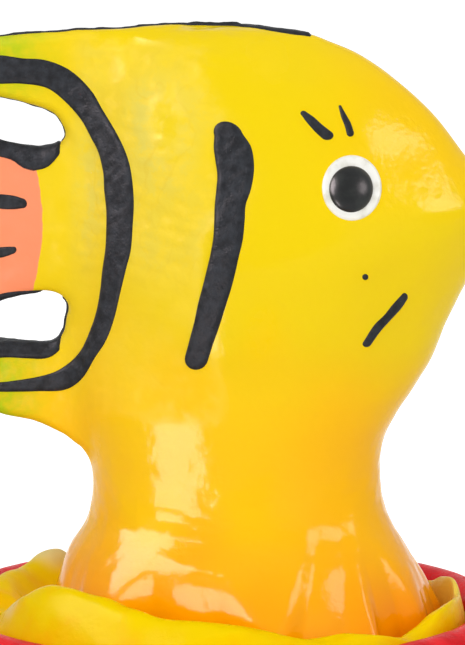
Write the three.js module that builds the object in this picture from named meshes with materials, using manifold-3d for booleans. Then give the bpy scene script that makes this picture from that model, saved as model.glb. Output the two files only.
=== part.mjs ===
// A clown's rubber fish cap: a hollow fish on a flared neck, which stands on a thin rubber crown.
// The crown is pushed in, as for storage, and lies in folds inside a thick rolled red rim.
// Millimetres, +Z up. The rim rests on z = 0, the fish looks along +X, and Y is across it.
// While it is modelled, x = 0 is the middle of the rim; the finished group is centred on its own length.
import * as THREE from "three";
import { mergeVertices } from "three/addons/utils/BufferGeometryUtils.js";
import Module from "manifold-3d";

const wasm = await Module();
wasm.setup();

// Overall sizes
const TOTAL_HEIGHT = 224.3; // floor to the ridge of the back
const SNOUT_REACH = 101.5; // middle of the rim to the tip of the snout
const TAIL_REACH = 141; // middle of the rim to the end of the tail
const BODY_HALF_THICKNESS = 40; // at the widest place above the neck
const SKIN_WALL = 2; // dipped rubber wall of fish and neck
const CLEARANCE = 0.3; // gap between pieces that lie on each other

// Rim
const RIM_RADIUS = 98; // middle of the rim to the middle of its roll
const ROLL_RADIUS = 8;
const ROLL_WALL = 1.7;
const ROLL_FLAT = 0.5; // how deep the roll is flattened where it rests

// Crown
const SHEET_THICKNESS = 1.4;
const SHEET_CREST = 30; // the highest fold over its own edges

// Neck
const FOOT_BOTTOM = 6; // height of the neck's lower edge
const FOOT_HEIGHT = 18; // the flared foot, which the crown carries
const FOOT_PLEAT = 2.4; // depth of the pleats at the lower edge
const FOOT_FRONT_GAP = 9.8; // between the foot's lower edge and the rim, in front
const FOOT_REAR_GAP = 27.6; // behind
const FOOT_SIDE_GAP = 24.6; // at the sides

// Fins and tail
const LOBE_HALF_THICKNESS = 4.5;
const LOBE_EDGE_ROUND = 2.5;
const TAIL_INSET = 7; // the tail's form starts this far inside the rear edge of the fish
const TAIL_STUB = 2.2; // the fish carries its first stretch, this far past that edge
const TAIL_HALF_THICKNESS = 7.5; // at its start
const TAIL_HALF_HEIGHT = 46; // at its end
const TAIL_ROOT_LENGTH = 8.5; // yellow root between the fish and the orange tail, on the middle line
const TAIL_ROOT_BOW = 4; // how far the root's rear edge bows backwards

// Paint and eyes
const PAINT_THICKNESS = 0.7;
const EYE_HALF_WIDTH = 10.7;
const EYE_HALF_HEIGHT = 11.3;
const EYE_WHITE_THICKNESS = 1;
const PUPIL_HALF_WIDTH = 7.8;
const PUPIL_HALF_HEIGHT = 7.9;
const PUPIL_BULGE = 5;
const NOSTRIL_RADIUS = 1.3;

// Fineness of the faceted surfaces
const AROUND_BODY = 36;
const BODY_RINGS = 21;
const AROUND_HOLLOW = 24;
const AROUND_FOOT = 56; // eight for each pleat
const HOLLOW_RINGS = 12;
const RIDGE_CROWDING = 1.6; // how much closer the rings lie towards the ridge
const AROUND_RIM = 48;
const ROLL_STEPS = 2; // in each quarter of the roll
const CORE_STEPS = 8;
const AROUND_SHEET = 48;
const SHEET_STEPS = 8;
const NECK_RINGS = 5;
const FOOT_RINGS = 3;
const TAIL_RINGS = 9;
const AROUND_TAIL = 20;
const ROOT_EDGE_STEPS = 8;
const OUTLINE_STEPS = 2; // between two points of an outline
const STROKE_STEPS = 1; // between two rows of a stroke
const CAP_STEPS = 4;
const EYE_STEPS = 18;
const NOSTRIL_STEPS = 8;
const DOME_AROUND = 12;
const DOME_RINGS = 8;

// Body table, from the floor to the ridge: height as a share of TOTAL_HEIGHT, rear and front edge as shares of
// SNOUT_REACH, half thickness as a share of BODY_HALF_THICKNESS. The neck is straight here, without its foot.
const BODY_SHARES = [
  [0, -0.45, 0.564, 0.96],
  [0.264, -0.45, 0.564, 0.96],
  [0.33, -0.47, 0.575, 0.955],
  [0.395, -0.51, 0.65, 0.97],
  [0.46, -0.54, 0.735, 0.99],
  [0.526, -0.556, 0.8, 1],
  [0.584, -0.56, 0.863, 0.995],
  [0.646, -0.56, 0.945, 0.97],
  [0.69, -0.56, 0.995, 0.93],
  [0.715, -0.56, 0.995, 0.9],
  [0.75, -0.56, 0.935, 0.86],
  [0.8, -0.556, 0.845, 0.78],
  [0.85, -0.54, 0.757, 0.69],
  [0.9, -0.51, 0.65, 0.58],
  [0.94, -0.46, 0.53, 0.45],
  [0.972, -0.38, 0.39, 0.31],
  [0.99, -0.28, 0.26, 0.18],
  [1, -0.12, 0.06, 0.06],
];
// The neck's flare below its waist: height as a share of TOTAL_HEIGHT, then the shares of the way out to the
// foot's lower edge at the rear, at the front and at the sides.
const FLARE_SHARES = [
  [0.027, 1, 1, 1],
  [0.06, 0.94, 0.889, 0.824],
  [0.1, 0.818, 0.69, 0.588],
  [0.15, 0.576, 0.425, 0.324],
  [0.2, 0.194, 0.159, 0.118],
  [0.264, 0, 0, 0],
  [0.33, 0, 0, 0],
];
const NECK_TOP_SHARE = 0.312; // height where the neck goes over into the fish, of TOTAL_HEIGHT
const TAIL_MIDDLE_SHARE = 0.687; // height of the tail's middle line, of TOTAL_HEIGHT
// How far the body is pinched towards its front and rear edges: none on the neck, most on the fish.
const PINCH_SHARE = 0.34;
const PINCH_START_SHARE = 0.33; // height where the pinch starts, of TOTAL_HEIGHT
const PINCH_FULL_SHARE = 0.55;
// Pleats round the foot
const PLEATS = 7;
const PLEAT_TURN = -0.6;

// Fold table of the crown: angle round the rim in degrees, crest as a share of SHEET_CREST.
const FOLD_SHARES = [
  [-180, 0.5],
  [-160, 0.46],
  [-148, 0.62],
  [-136, 0.93],
  [-122, 0.86],
  [-108, 0.72],
  [-92, 0.62],
  [-76, 0.44],
  [-62, 0.34],
  [-48, 0.36],
  [-34, 0.22],
  [-18, 0.42],
  [0, 0.52],
  [18, 0.4],
  [34, 0.5],
  [52, 0.34],
  [72, 0.5],
  [92, 0.36],
  [112, 0.52],
  [132, 0.4],
  [150, 0.66],
  [166, 0.44],
  [180, 0.5],
];

// Outlines on the side of the fish: x as a share of SNOUT_REACH, height as a share of TOTAL_HEIGHT.
const DORSAL_LOBE_SHARES = [
  [-0.1, 0.93],
  [-0.12, 0.992],
  [-0.4, 0.994],
  [-0.6, 0.99],
  [-0.8, 0.983],
  [-0.96, 0.968],
  [-1.05, 0.935],
  [-1.03, 0.903],
  [-0.93, 0.89],
  [-0.78, 0.882],
  [-0.68, 0.872],
  [-0.6, 0.855],
  [-0.56, 0.825],
  [-0.42, 0.8],
];
const ANAL_LOBE_SHARES = [
  [-0.42, 0.58],
  [-0.56, 0.53],
  [-0.59, 0.503],
  [-0.66, 0.492],
  [-0.78, 0.491],
  [-0.92, 0.483],
  [-1.0, 0.455],
  [-0.99, 0.425],
  [-0.9, 0.395],
  [-0.78, 0.376],
  [-0.66, 0.36],
  [-0.57, 0.343],
  [-0.5, 0.325],
  [-0.42, 0.34],
];
// The tail along its length: half height as a share of TAIL_HALF_HEIGHT, half thickness of TAIL_HALF_THICKNESS.
const TAIL_SHARES = [
  [0, 0.74, 1],
  [0.1, 0.63, 0.9],
  [0.17, 0.56, 0.76],
  [0.32, 0.62, 0.56],
  [0.6, 0.81, 0.44],
  [0.85, 0.95, 0.36],
  [1, 1, 0.26],
];
const TAIL_FORK_SHARE = 0.07; // how far the middle of the tail's end is drawn in

// Strokes painted on the fish, as rows of a spine: x as a share of SNOUT_REACH, height as a share of TOTAL_HEIGHT,
// and width as a share of STROKE_WIDTH.
const STROKE_WIDTH = 10;
const REAR_BAND_SHARES = [
  [-0.9, 0.93, 0.8],
  [-0.771, 0.929, 1.03],
  [-0.611, 0.921, 1],
  [-0.507, 0.898, 0.95],
  [-0.448, 0.858, 0.9],
  [-0.397, 0.82, 1],
  [-0.358, 0.767, 1.05],
  [-0.35, 0.7, 1],
  [-0.365, 0.629, 0.88],
  [-0.399, 0.555, 0.73],
  [-0.461, 0.479, 0.65],
  [-0.53, 0.441, 0.68],
  [-0.611, 0.427, 0.58],
  [-0.768, 0.419, 0.4],
  [-0.89, 0.419, 0.3],
];
const CHEEK_STRIPE_SHARES = [
  [0.039, 0.831, 0.8],
  [0.042, 0.807, 1.26],
  [0.053, 0.771, 1.29],
  [0.035, 0.718, 1.13],
  [0.027, 0.664, 1.05],
  [-0.005, 0.609, 1.02],
  [-0.041, 0.547, 0.92],
  [-0.083, 0.486, 0.8],
];
const BROW_REAR_SHARES = [
  [0.286, 0.866, 0.1],
  [0.325, 0.852, 0.25],
  [0.369, 0.833, 0.33],
];
const BROW_FRONT_SHARES = [
  [0.414, 0.875, 0.1],
  [0.436, 0.854, 0.22],
  [0.458, 0.834, 0.32],
];
const MOUTH_SHARES = [
  [0.643, 0.578, 0.33],
  [0.606, 0.559, 0.34],
  [0.562, 0.536, 0.3],
  [0.522, 0.514, 0.29],
  [0.498, 0.5, 0.24],
];
const LOBE_EDGE_SHARES = [
  [-0.598, 0.487, 0.4],
  [-0.673, 0.479, 0.5],
  [-0.778, 0.478, 0.5],
  [-0.91, 0.47, 0.4],
];
const RIDGE_LINE_SHARES = [
  [-0.84, 0.975, 0.8],
  [-0.6, 0.985, 0.8],
  [-0.35, 0.99, 0.8],
  [-0.1, 0.995, 0.8],
  [0.1, 0.995, 0.8],
  [0.31, 0.98, 0.8],
];
const RIDGE_LINE_HALF_WIDTH = 3; // across the fish
// Strokes on the tail: place as a share of the tail's length, height over its middle line as a share of its half
// height there, and width as a share of STROKE_WIDTH.
const TAIL_UPPER_EDGE_SHARES = [
  [0.21, 0.86, 0.56],
  [0.31, 0.86, 0.8],
  [0.495, 0.88, 0.8],
  [0.9, 0.957, 0.6],
];
const TAIL_LOWER_EDGE_SHARES = [
  [0.21, -0.96, 0.25],
  [0.318, -0.943, 0.36],
  [0.495, -0.925, 0.4],
  [0.9, -0.962, 0.5],
];
const TAIL_RAY_SHARES = [
  [
    [0.243, 0.255, 0.5],
    [0.343, 0.271, 0.56],
    [0.566, 0.319, 0.5],
    [0.767, 0.377, 0.3],
  ],
  [
    [0.274, -0.404, 0.4],
    [0.365, -0.408, 0.46],
    [0.566, -0.437, 0.42],
    [0.767, -0.48, 0.28],
  ],
];
const EYE_PLACE_SHARES = [0.456, 0.751];
const PUPIL_PLACE_SHARES = [0.45, 0.7485];
const NOSTRIL_PLACE_SHARES = [0.502, 0.612];

// Colours
const YELLOW = 0xf5d400;
const NECK_YELLOW = 0xffb800;
const BASE_ORANGE = 0xff9a00;
const TAIL_ORANGE = 0xff8c5a;
const RED = 0xe0201a;
const CHARCOAL = 0x3c3c3e;
const WHITE = 0xf4f2ea;
const BLACK = 0x101012;
const SPONGE = 0xd8d0c0;

const RIM_HEIGHT = ROLL_RADIUS - ROLL_FLAT; // middle of the roll over the floor
const RIM_INSIDE = RIM_RADIUS - ROLL_RADIUS;
const FOOT_TOP = FOOT_BOTTOM + FOOT_HEIGHT;
const NECK_TOP = NECK_TOP_SHARE * TOTAL_HEIGHT;
const TAIL_MIDDLE = TAIL_MIDDLE_SHARE * TOTAL_HEIGHT;
const REACH = TOTAL_HEIGHT + SNOUT_REACH + TAIL_REACH; // past everything, for cuts

// Interpolates a table whose rows start with a rising place: smooth through every row.
function along(table, place) {
  let i = table.findIndex((row) => row[0] > place) - 1;
  if (i === -2) i = table.length - 2;
  i = Math.max(0, Math.min(i, table.length - 2));
  const a = table[i];
  const b = table[i + 1];
  const before = table[Math.max(i - 1, 0)];
  const after = table[Math.min(i + 2, table.length - 1)];
  const span = b[0] - a[0];
  const u = THREE.MathUtils.clamp((place - a[0]) / span, 0, 1);
  return a.slice(1).map((value, n) => {
    const from = value;
    const to = b[n + 1];
    const slopeA = ((to - before[n + 1]) / (b[0] - before[0] || span)) * span;
    const slopeB = ((after[n + 1] - from) / (after[0] - a[0] || span)) * span;
    return (
      from * (2 * u * u * u - 3 * u * u + 1) +
      slopeA * (u * u * u - 2 * u * u + u) +
      to * (3 * u * u - 2 * u * u * u) +
      slopeB * (u * u * u - u * u)
    );
  });
}

// Manifold solids from three.js geometry, and back.
function solid(geometry) {
  const bare = geometry.clone();
  bare.deleteAttribute("normal");
  bare.deleteAttribute("uv");
  const merged = mergeVertices(bare, 1e-4);
  return new wasm.Manifold(
    new wasm.Mesh({
      numProp: 3,
      vertProperties: new Float32Array(merged.attributes.position.array),
      triVerts: new Uint32Array(merged.index.array),
    }),
  );
}

function meshOf(shape, name, color, roughness = 0.35) {
  const data = shape.getMesh();
  const geometry = new THREE.BufferGeometry();
  const stride = data.numProp;
  const points = new Float32Array(data.numVert * 3);
  for (let i = 0; i < data.numVert; i++) {
    points.set(data.vertProperties.subarray(i * stride, i * stride + 3), i * 3);
  }
  geometry.setAttribute("position", new THREE.BufferAttribute(points, 3));
  geometry.setIndex(new THREE.BufferAttribute(new Uint32Array(data.triVerts), 1));
  geometry.computeVertexNormals();
  const mesh = new THREE.Mesh(geometry, new THREE.MeshStandardMaterial({ color, roughness, metalness: 0 }));
  mesh.name = name;
  return mesh;
}

// A closed body through rings of equally many points, each ring anticlockwise seen from the last ring's side.
function loft(rings, closedRound = false) {
  const around = rings[0].length;
  const points = [];
  rings.forEach((ring) => ring.forEach((p) => points.push(p.x, p.y, p.z)));
  const faces = [];
  const last = closedRound ? rings.length : rings.length - 1;
  for (let i = 0; i < last; i++) {
    const low = i * around;
    const high = ((i + 1) % rings.length) * around;
    for (let j = 0; j < around; j++) {
      const k = (j + 1) % around;
      faces.push(low + j, low + k, high + k);
      faces.push(low + j, high + k, high + j);
    }
  }
  if (!closedRound) {
    [rings[0], rings[rings.length - 1]].forEach((ring, end) => {
      const middle = new THREE.Vector3();
      ring.forEach((p) => middle.addScaledVector(p, 1 / around));
      const centre = points.length / 3;
      points.push(middle.x, middle.y, middle.z);
      const first = end === 0 ? 0 : (rings.length - 1) * around;
      for (let j = 0; j < around; j++) {
        const k = (j + 1) % around;
        if (end === 0) faces.push(centre, first + k, first + j);
        else faces.push(centre, first + j, first + k);
      }
    });
  }
  const geometry = new THREE.BufferGeometry();
  geometry.setAttribute("position", new THREE.Float32BufferAttribute(points, 3));
  geometry.setIndex(faces);
  return geometry;
}

// The body's own section at a height: rear and front edge, and half thickness.
function section(height) {
  const [rear, front, thick] = along(BODY_SHARES, height / TOTAL_HEIGHT);
  const [rearFlare, frontFlare, sideFlare] = along(FLARE_SHARES, height / TOTAL_HEIGHT);
  const mix = THREE.MathUtils.lerp;
  const pinch =
    PINCH_SHARE *
    THREE.MathUtils.smoothstep(height / TOTAL_HEIGHT, PINCH_START_SHARE, PINCH_FULL_SHARE);
  return {
    rear: mix(rear * SNOUT_REACH, FOOT_REAR_GAP - RIM_INSIDE, rearFlare),
    front: mix(front * SNOUT_REACH, RIM_INSIDE - FOOT_FRONT_GAP, frontFlare),
    thick: mix(thick * BODY_HALF_THICKNESS, RIM_INSIDE - FOOT_SIDE_GAP, sideFlare),
    pinch,
  };
}

function pleat(height, angle) {
  const share = 1 - THREE.MathUtils.smoothstep(height, FOOT_BOTTOM, FOOT_TOP + FOOT_HEIGHT);
  return FOOT_PLEAT * share * Math.cos(PLEATS * angle + PLEAT_TURN);
}

// One ring of the body's surface, moved outwards by offset.
function bodyRing(height, offset, around) {
  const s = section(height);
  const middle = (s.rear + s.front) / 2;
  const half = (s.front - s.rear) / 2;
  const ring = [];
  for (let j = 0; j < around; j++) {
    const angle = (j / around) * 2 * Math.PI;
    const c = Math.cos(angle);
    const out = offset + pleat(height, angle);
    const x = middle + Math.max(half + out, SKIN_WALL) * c;
    const y = Math.max(s.thick + out, SKIN_WALL / 4) * Math.sin(angle) * (1 - s.pinch * c * c);
    ring.push(new THREE.Vector3(x, y, height));
  }
  return ring;
}

// The body between two heights. Rings lie closer together towards the upper one where crowding is over 1.
function body(from, to, offset, around, count, crowding = 1) {
  const rings = [];
  for (let i = 0; i <= count; i++) {
    const share = 1 - (1 - i / count) ** crowding;
    rings.push(bodyRing(from + (to - from) * share, offset, around));
  }
  return rings;
}

// The whole fish body, closed at the ridge, which rises with the offset too.
function fishBody(offset, around, count) {
  const rings = body(NECK_TOP, TOTAL_HEIGHT, offset, around, count, RIDGE_CROWDING);
  const middle = (NECK_TOP + TOTAL_HEIGHT) / 2;
  rings.forEach((ring) =>
    ring.forEach((p) => (p.z += offset * THREE.MathUtils.smoothstep(p.z, middle, TOTAL_HEIGHT))),
  );
  return solid(loft(rings));
}

// The places that the tables' shares stand for, in the x-z plane.
function onFish([x, z]) {
  return new THREE.Vector2(x * SNOUT_REACH, z * TOTAL_HEIGHT);
}

function onTail([place, rise]) {
  const half = along(TAIL_SHARES, place)[0] * TAIL_HALF_HEIGHT;
  return new THREE.Vector2(-TAIL_START - place * (TAIL_REACH - TAIL_START), TAIL_MIDDLE + rise * half);
}

// A smooth closed outline from its table of shares.
function outline(shares) {
  const points = shares.map((row) => new THREE.Vector3(...onFish(row), 0));
  const curve = new THREE.CatmullRomCurve3(points, true, "centripetal");
  const fine = curve.getPoints(OUTLINE_STEPS * shares.length).slice(0, -1);
  return new THREE.Shape(fine.map((p) => new THREE.Vector2(p.x, p.y)));
}

// A painted stroke's outline: its spine widened to both sides, with round ends.
function stroke(shares, placed = onFish) {
  const curve = new THREE.CatmullRomCurve3(
    shares.map((row) => new THREE.Vector3(...placed(row), row[2] * STROKE_WIDTH)),
    false,
    "centripetal",
  );
  const spine = curve.getPoints(STROKE_STEPS * (shares.length - 1));
  const sides = spine.map((p, i) => {
    const before = spine[Math.max(i - 1, 0)];
    const after = spine[Math.min(i + 1, spine.length - 1)];
    const run = new THREE.Vector2(after.x - before.x, after.y - before.y).normalize();
    return { middle: new THREE.Vector2(p.x, p.y), run, half: p.z / 2 };
  });
  const at = ({ middle, run, half }, angle) =>
    new THREE.Vector2(
      middle.x + half * (run.x * Math.cos(angle) - run.y * Math.sin(angle)),
      middle.y + half * (run.y * Math.cos(angle) + run.x * Math.sin(angle)),
    );
  const quarter = Math.PI / 2;
  const points = sides.map((side) => at(side, -quarter));
  for (let i = 1; i < CAP_STEPS; i++) {
    points.push(at(sides[sides.length - 1], -quarter + (i / CAP_STEPS) * Math.PI));
  }
  points.push(...sides.map((side) => at(side, quarter)).reverse());
  for (let i = 1; i < CAP_STEPS; i++) points.push(at(sides[0], quarter + (i / CAP_STEPS) * Math.PI));
  return new THREE.Shape(points);
}

// A round or oval outline about a place on the side of the fish.
function oval(shares, halfWidth, halfHeight, steps) {
  const shape = new THREE.Shape();
  shape.absellipse(...onFish(shares), halfWidth, halfHeight, 0, 2 * Math.PI);
  return new THREE.Shape(shape.getPoints(steps).slice(0, -1));
}

// A plate in the x-z plane, from its outline, with rounded edges, moved outwards by offset.
function plate(shape, halfThickness, offset) {
  const half = halfThickness + offset;
  const round = Math.min(LOBE_EDGE_ROUND, halfThickness / 2);
  const geometry = new THREE.ExtrudeGeometry(shape, {
    depth: 2 * (half - round),
    bevelEnabled: true,
    bevelThickness: round,
    bevelSize: round,
    bevelOffset: offset - round,
    bevelSegments: 2,
  });
  geometry.translate(0, 0, round - half);
  geometry.rotateX(Math.PI / 2);
  return solid(geometry);
}

// A prism across the fish, between two places on Y.
function prism(shape, from, to) {
  const geometry = new THREE.ExtrudeGeometry(shape, { depth: to - from, bevelEnabled: false });
  geometry.rotateX(Math.PI / 2);
  geometry.translate(0, to, 0);
  return solid(geometry);
}

// The tail's whole form, from inside the fish to its end, moved outwards by offset.
function tailForm(offset) {
  const rings = [];
  for (let i = 0; i <= TAIL_RINGS; i++) {
    const place = i / TAIL_RINGS;
    const [height, thick] = along(TAIL_SHARES, place);
    const ring = [];
    for (let j = 0; j < AROUND_TAIL; j++) {
      const angle = (j / AROUND_TAIL) * 2 * Math.PI;
      const across = Math.sin(angle);
      const fork = 1 - TAIL_FORK_SHARE * place * across * across;
      const y = (thick * TAIL_HALF_THICKNESS + offset) * Math.sign(across) * Math.sqrt(Math.abs(across));
      const z = TAIL_MIDDLE + (height * TAIL_HALF_HEIGHT + offset) * Math.cos(angle);
      ring.push(new THREE.Vector3(-TAIL_START - (TAIL_REACH - TAIL_START + offset) * place * fork, y, z));
    }
    rings.push(ring);
  }
  return solid(loft(rings));
}

// The outer skin of the fish with its two lobes, moved outwards by offset.
function fishSkin(offset) {
  return fishBody(offset, AROUND_BODY, BODY_RINGS)
    .add(plate(outline(DORSAL_LOBE_SHARES), LOBE_HALF_THICKNESS, offset))
    .add(plate(outline(ANAL_LOBE_SHARES), LOBE_HALF_THICKNESS, offset));
}

// The line across the tail where its yellow root goes over into the orange fin, a little behind the cut
// when shift is over 0.
function rootEdge(shift) {
  const points = [];
  for (let i = 0; i <= ROOT_EDGE_STEPS; i++) {
    const rise = (2 * i) / ROOT_EDGE_STEPS - 1;
    points.push(
      new THREE.Vector2(
        -TAIL_CUT - TAIL_ROOT_LENGTH + TAIL_ROOT_BOW * rise * rise - shift,
        TAIL_MIDDLE + rise * TAIL_HALF_HEIGHT,
      ),
    );
  }
  return points;
}

function tailSlice(front, rear) {
  return prism(new THREE.Shape([...front, ...rear.slice().reverse()]), -REACH, REACH);
}

function uprightLine(x) {
  return [-1, 1].map((end) => new THREE.Vector2(x, TAIL_MIDDLE + end * TAIL_HALF_HEIGHT));
}

const TAIL_START = -section(TAIL_MIDDLE).rear - TAIL_INSET;
const TAIL_CUT = -section(TAIL_MIDDLE).rear + TAIL_STUB;

// Half the body's thickness at a place on its side, and the direction its near side faces there.
function surface(x, z) {
  const s = section(z);
  const u = (2 * x - s.rear - s.front) / (s.front - s.rear);
  return s.thick * Math.sqrt(1 - u * u) * (1 - s.pinch * u * u);
}

function facing(x, z) {
  const step = SKIN_WALL;
  const alongX = surface(x + step, z) - surface(x - step, z);
  const alongZ = surface(x, z + step) - surface(x, z - step);
  return new THREE.Vector3(-alongX, 2 * step, -alongZ).normalize();
}

// A stretch of the neck as an open tube.
function neckTube(from, to, around, count) {
  const outside = solid(loft(body(from, to, 0, around, count)));
  const inside = solid(loft(body(from - SKIN_WALL, to + SKIN_WALL, -SKIN_WALL, around, count + 2)));
  return outside.subtract(inside);
}

// The rim's roll: a thick sleeve, flat where it rests, with a slit on its inner side for the crown's edge.
function rimRoll() {
  const slit = SHEET_THICKNESS / 2 + CLEARANCE;
  const inside = ROLL_RADIUS - ROLL_WALL;
  const arc = (radius, from, to, steps) => {
    const points = [];
    for (let i = 0; i <= steps; i++) {
      const angle = from + ((to - from) * i) / steps;
      const z = RIM_HEIGHT + radius * Math.sin(angle);
      points.push(new THREE.Vector2(RIM_RADIUS + radius * Math.cos(angle), z));
    }
    return points;
  };
  const outerEnd = Math.PI - Math.asin(slit / ROLL_RADIUS);
  const innerEnd = Math.PI - Math.asin(slit / inside);
  const rest = Math.acos(RIM_HEIGHT / ROLL_RADIUS);
  const profile = [
    ...arc(ROLL_RADIUS, -outerEnd, -Math.PI / 2 - rest, ROLL_STEPS),
    ...arc(ROLL_RADIUS, -Math.PI / 2 + rest, 0, ROLL_STEPS),
    ...arc(ROLL_RADIUS, 0, outerEnd, 3 * ROLL_STEPS).slice(1),
    ...arc(inside, innerEnd, -innerEnd, 4 * ROLL_STEPS),
  ];
  profile.push(profile[0].clone());
  const geometry = new THREE.LatheGeometry(profile, AROUND_RIM);
  geometry.rotateX(Math.PI / 2);
  return solid(geometry);
}

// The sponge ring inside the roll.
function rimCore() {
  const radius = ROLL_RADIUS - ROLL_WALL - CLEARANCE;
  const geometry = new THREE.TorusGeometry(RIM_RADIUS, radius, CORE_STEPS, AROUND_RIM);
  geometry.translate(0, 0, RIM_HEIGHT);
  return solid(geometry);
}

// The crown: a thin sheet from under the foot of the neck, up over a fold and down into the roll's slit.
function crownSheet() {
  const half = SHEET_THICKNESS / 2;
  const low = FOOT_BOTTOM - CLEARANCE - half;
  const under = bodyRing(FOOT_BOTTOM, -SKIN_WALL, AROUND_SHEET);
  const lip = bodyRing(FOOT_BOTTOM, half + CLEARANCE, AROUND_SHEET);
  const foldEnd = RIM_INSIDE - CLEARANCE;
  const gripEnd = RIM_INSIDE + ROLL_WALL;
  const rings = under.map((start, j) => {
    const angle = (j / AROUND_SHEET) * 2 * Math.PI;
    const degrees = THREE.MathUtils.radToDeg(angle > Math.PI ? angle - 2 * Math.PI : angle);
    const crest = along(FOLD_SHARES, degrees)[0] * SHEET_CREST;
    const out = new THREE.Vector3(Math.cos(angle), Math.sin(angle), 0);
    const end = out.clone().multiplyScalar(foldEnd);
    const line = [new THREE.Vector3(start.x, start.y, low)];
    for (let i = 0; i <= SHEET_STEPS; i++) {
      const share = i / SHEET_STEPS;
      const rise = Math.sin(Math.PI * share) ** 2;
      const point = new THREE.Vector3().lerpVectors(lip[j], end, share);
      point.z = low + (RIM_HEIGHT - low) * share + crest * rise;
      line.push(point);
    }
    const grip = out.clone().multiplyScalar(gripEnd);
    grip.z = RIM_HEIGHT;
    line.push(grip);
    const upper = [];
    const lower = [];
    line.forEach((point, i) => {
      const before = line[Math.max(i - 1, 0)];
      const after = line[Math.min(i + 1, line.length - 1)];
      const run = new THREE.Vector3().subVectors(after, before);
      const level = Math.hypot(run.x, run.y);
      const flat = i === 0 || i >= line.length - 2;
      const normal = new THREE.Vector3(-run.z * (run.x / level), -run.z * (run.y / level), level);
      if (flat) normal.set(0, 0, 1);
      normal.normalize().multiplyScalar(half);
      upper.push(point.clone().add(normal));
      lower.push(point.clone().sub(normal));
    });
    return [...lower.reverse(), ...upper];
  });
  return solid(loft(rings, true));
}

// Paint or an eye's white on one side of the fish: a slice of the skin, raised by the clearance.
function layer(shape, side, under, over) {
  const cutter = side < 0 ? prism(shape, -REACH, 0) : prism(shape, 0, REACH);
  return cutter.intersect(over).subtract(under);
}

function pupil(side, under) {
  const [x, z] = onFish(PUPIL_PLACE_SHARES);
  const faces = facing(x, z);
  const geometry = new THREE.SphereGeometry(1, DOME_AROUND, DOME_RINGS);
  geometry.scale(PUPIL_HALF_WIDTH, PUPIL_BULGE + EYE_WHITE_THICKNESS, PUPIL_HALF_HEIGHT);
  const turn = new THREE.Quaternion().setFromUnitVectors(
    new THREE.Vector3(0, side, 0),
    new THREE.Vector3(faces.x, side * faces.y, faces.z),
  );
  geometry.applyQuaternion(turn);
  geometry.translate(x, side * surface(x, z), z);
  return solid(geometry).subtract(under);
}

// The solids that the pieces are cut from
const skin = fishSkin(0);
const skinUnderPaint = fishSkin(CLEARANCE);
const skinOverPaint = fishSkin(CLEARANCE + PAINT_THICKNESS);
const skinOverWhite = fishSkin(CLEARANCE + EYE_WHITE_THICKNESS);
const skinUnderPupil = fishSkin(2 * CLEARANCE + EYE_WHITE_THICKNESS);
const tail = tailForm(0);
const tailUnderPaint = tailForm(CLEARANCE);
const tailOverPaint = tailForm(CLEARANCE + PAINT_THICKNESS);
const hollow = fishBody(-SKIN_WALL, AROUND_HOLLOW, HOLLOW_RINGS);
const stub = tail.intersect(tailSlice(uprightLine(-TAIL_CUT), uprightLine(0)));

const assembly = new THREE.Group();

// Rim and crown
assembly.add(meshOf(rimRoll(), "rim_roll", RED, 0.3));
assembly.add(meshOf(rimCore(), "rim_core", SPONGE, 0.9));
assembly.add(meshOf(crownSheet(), "crown_sheet", YELLOW));

// Neck and fish
assembly.add(meshOf(neckTube(FOOT_BOTTOM, FOOT_TOP, AROUND_FOOT, FOOT_RINGS), "neck_foot", BASE_ORANGE));
const waist = neckTube(FOOT_TOP + CLEARANCE, NECK_TOP - CLEARANCE, AROUND_BODY, NECK_RINGS);
assembly.add(meshOf(waist, "neck_waist", NECK_YELLOW));
assembly.add(meshOf(skin.add(stub).subtract(hollow), "fish_shell", YELLOW));

// Tail
const root = tail.intersect(tailSlice(uprightLine(-TAIL_CUT - CLEARANCE), rootEdge(0)));
const fin = tail.intersect(tailSlice(rootEdge(CLEARANCE), uprightLine(-REACH)));
assembly.add(meshOf(root, "tail_root", YELLOW));
assembly.add(meshOf(fin, "tail_fin", TAIL_ORANGE));

// Paint and eyes on both sides
const bodyStrokes = {
  rear_band: stroke(REAR_BAND_SHARES),
  cheek_stripe: stroke(CHEEK_STRIPE_SHARES),
  brow_rear: stroke(BROW_REAR_SHARES),
  brow_front: stroke(BROW_FRONT_SHARES),
  mouth_line: stroke(MOUTH_SHARES),
  lobe_edge: stroke(LOBE_EDGE_SHARES),
  nostril_dot: oval(NOSTRIL_PLACE_SHARES, NOSTRIL_RADIUS, NOSTRIL_RADIUS, NOSTRIL_STEPS),
};
const tailStrokes = {
  tail_edge_upper: stroke(TAIL_UPPER_EDGE_SHARES, onTail),
  tail_edge_lower: stroke(TAIL_LOWER_EDGE_SHARES, onTail),
};
TAIL_RAY_SHARES.forEach((shares, i) => {
  tailStrokes["tail_ray_" + (i + 1)] = stroke(shares, onTail);
});
const eyeWhite = oval(EYE_PLACE_SHARES, EYE_HALF_WIDTH, EYE_HALF_HEIGHT, EYE_STEPS);

[-1, 1].forEach((side) => {
  const end = side < 0 ? "_right" : "_left";
  Object.entries(bodyStrokes).forEach(([name, shape]) => {
    assembly.add(meshOf(layer(shape, side, skinUnderPaint, skinOverPaint), name + end, CHARCOAL, 0.5));
  });
  Object.entries(tailStrokes).forEach(([name, shape]) => {
    assembly.add(meshOf(layer(shape, side, tailUnderPaint, tailOverPaint), name + end, CHARCOAL, 0.5));
  });
  assembly.add(meshOf(layer(eyeWhite, side, skinUnderPaint, skinOverWhite), "eye_white" + end, WHITE, 0.4));
  assembly.add(meshOf(pupil(side, skinUnderPupil), "pupil" + end, BLACK, 0.1));
});

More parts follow.
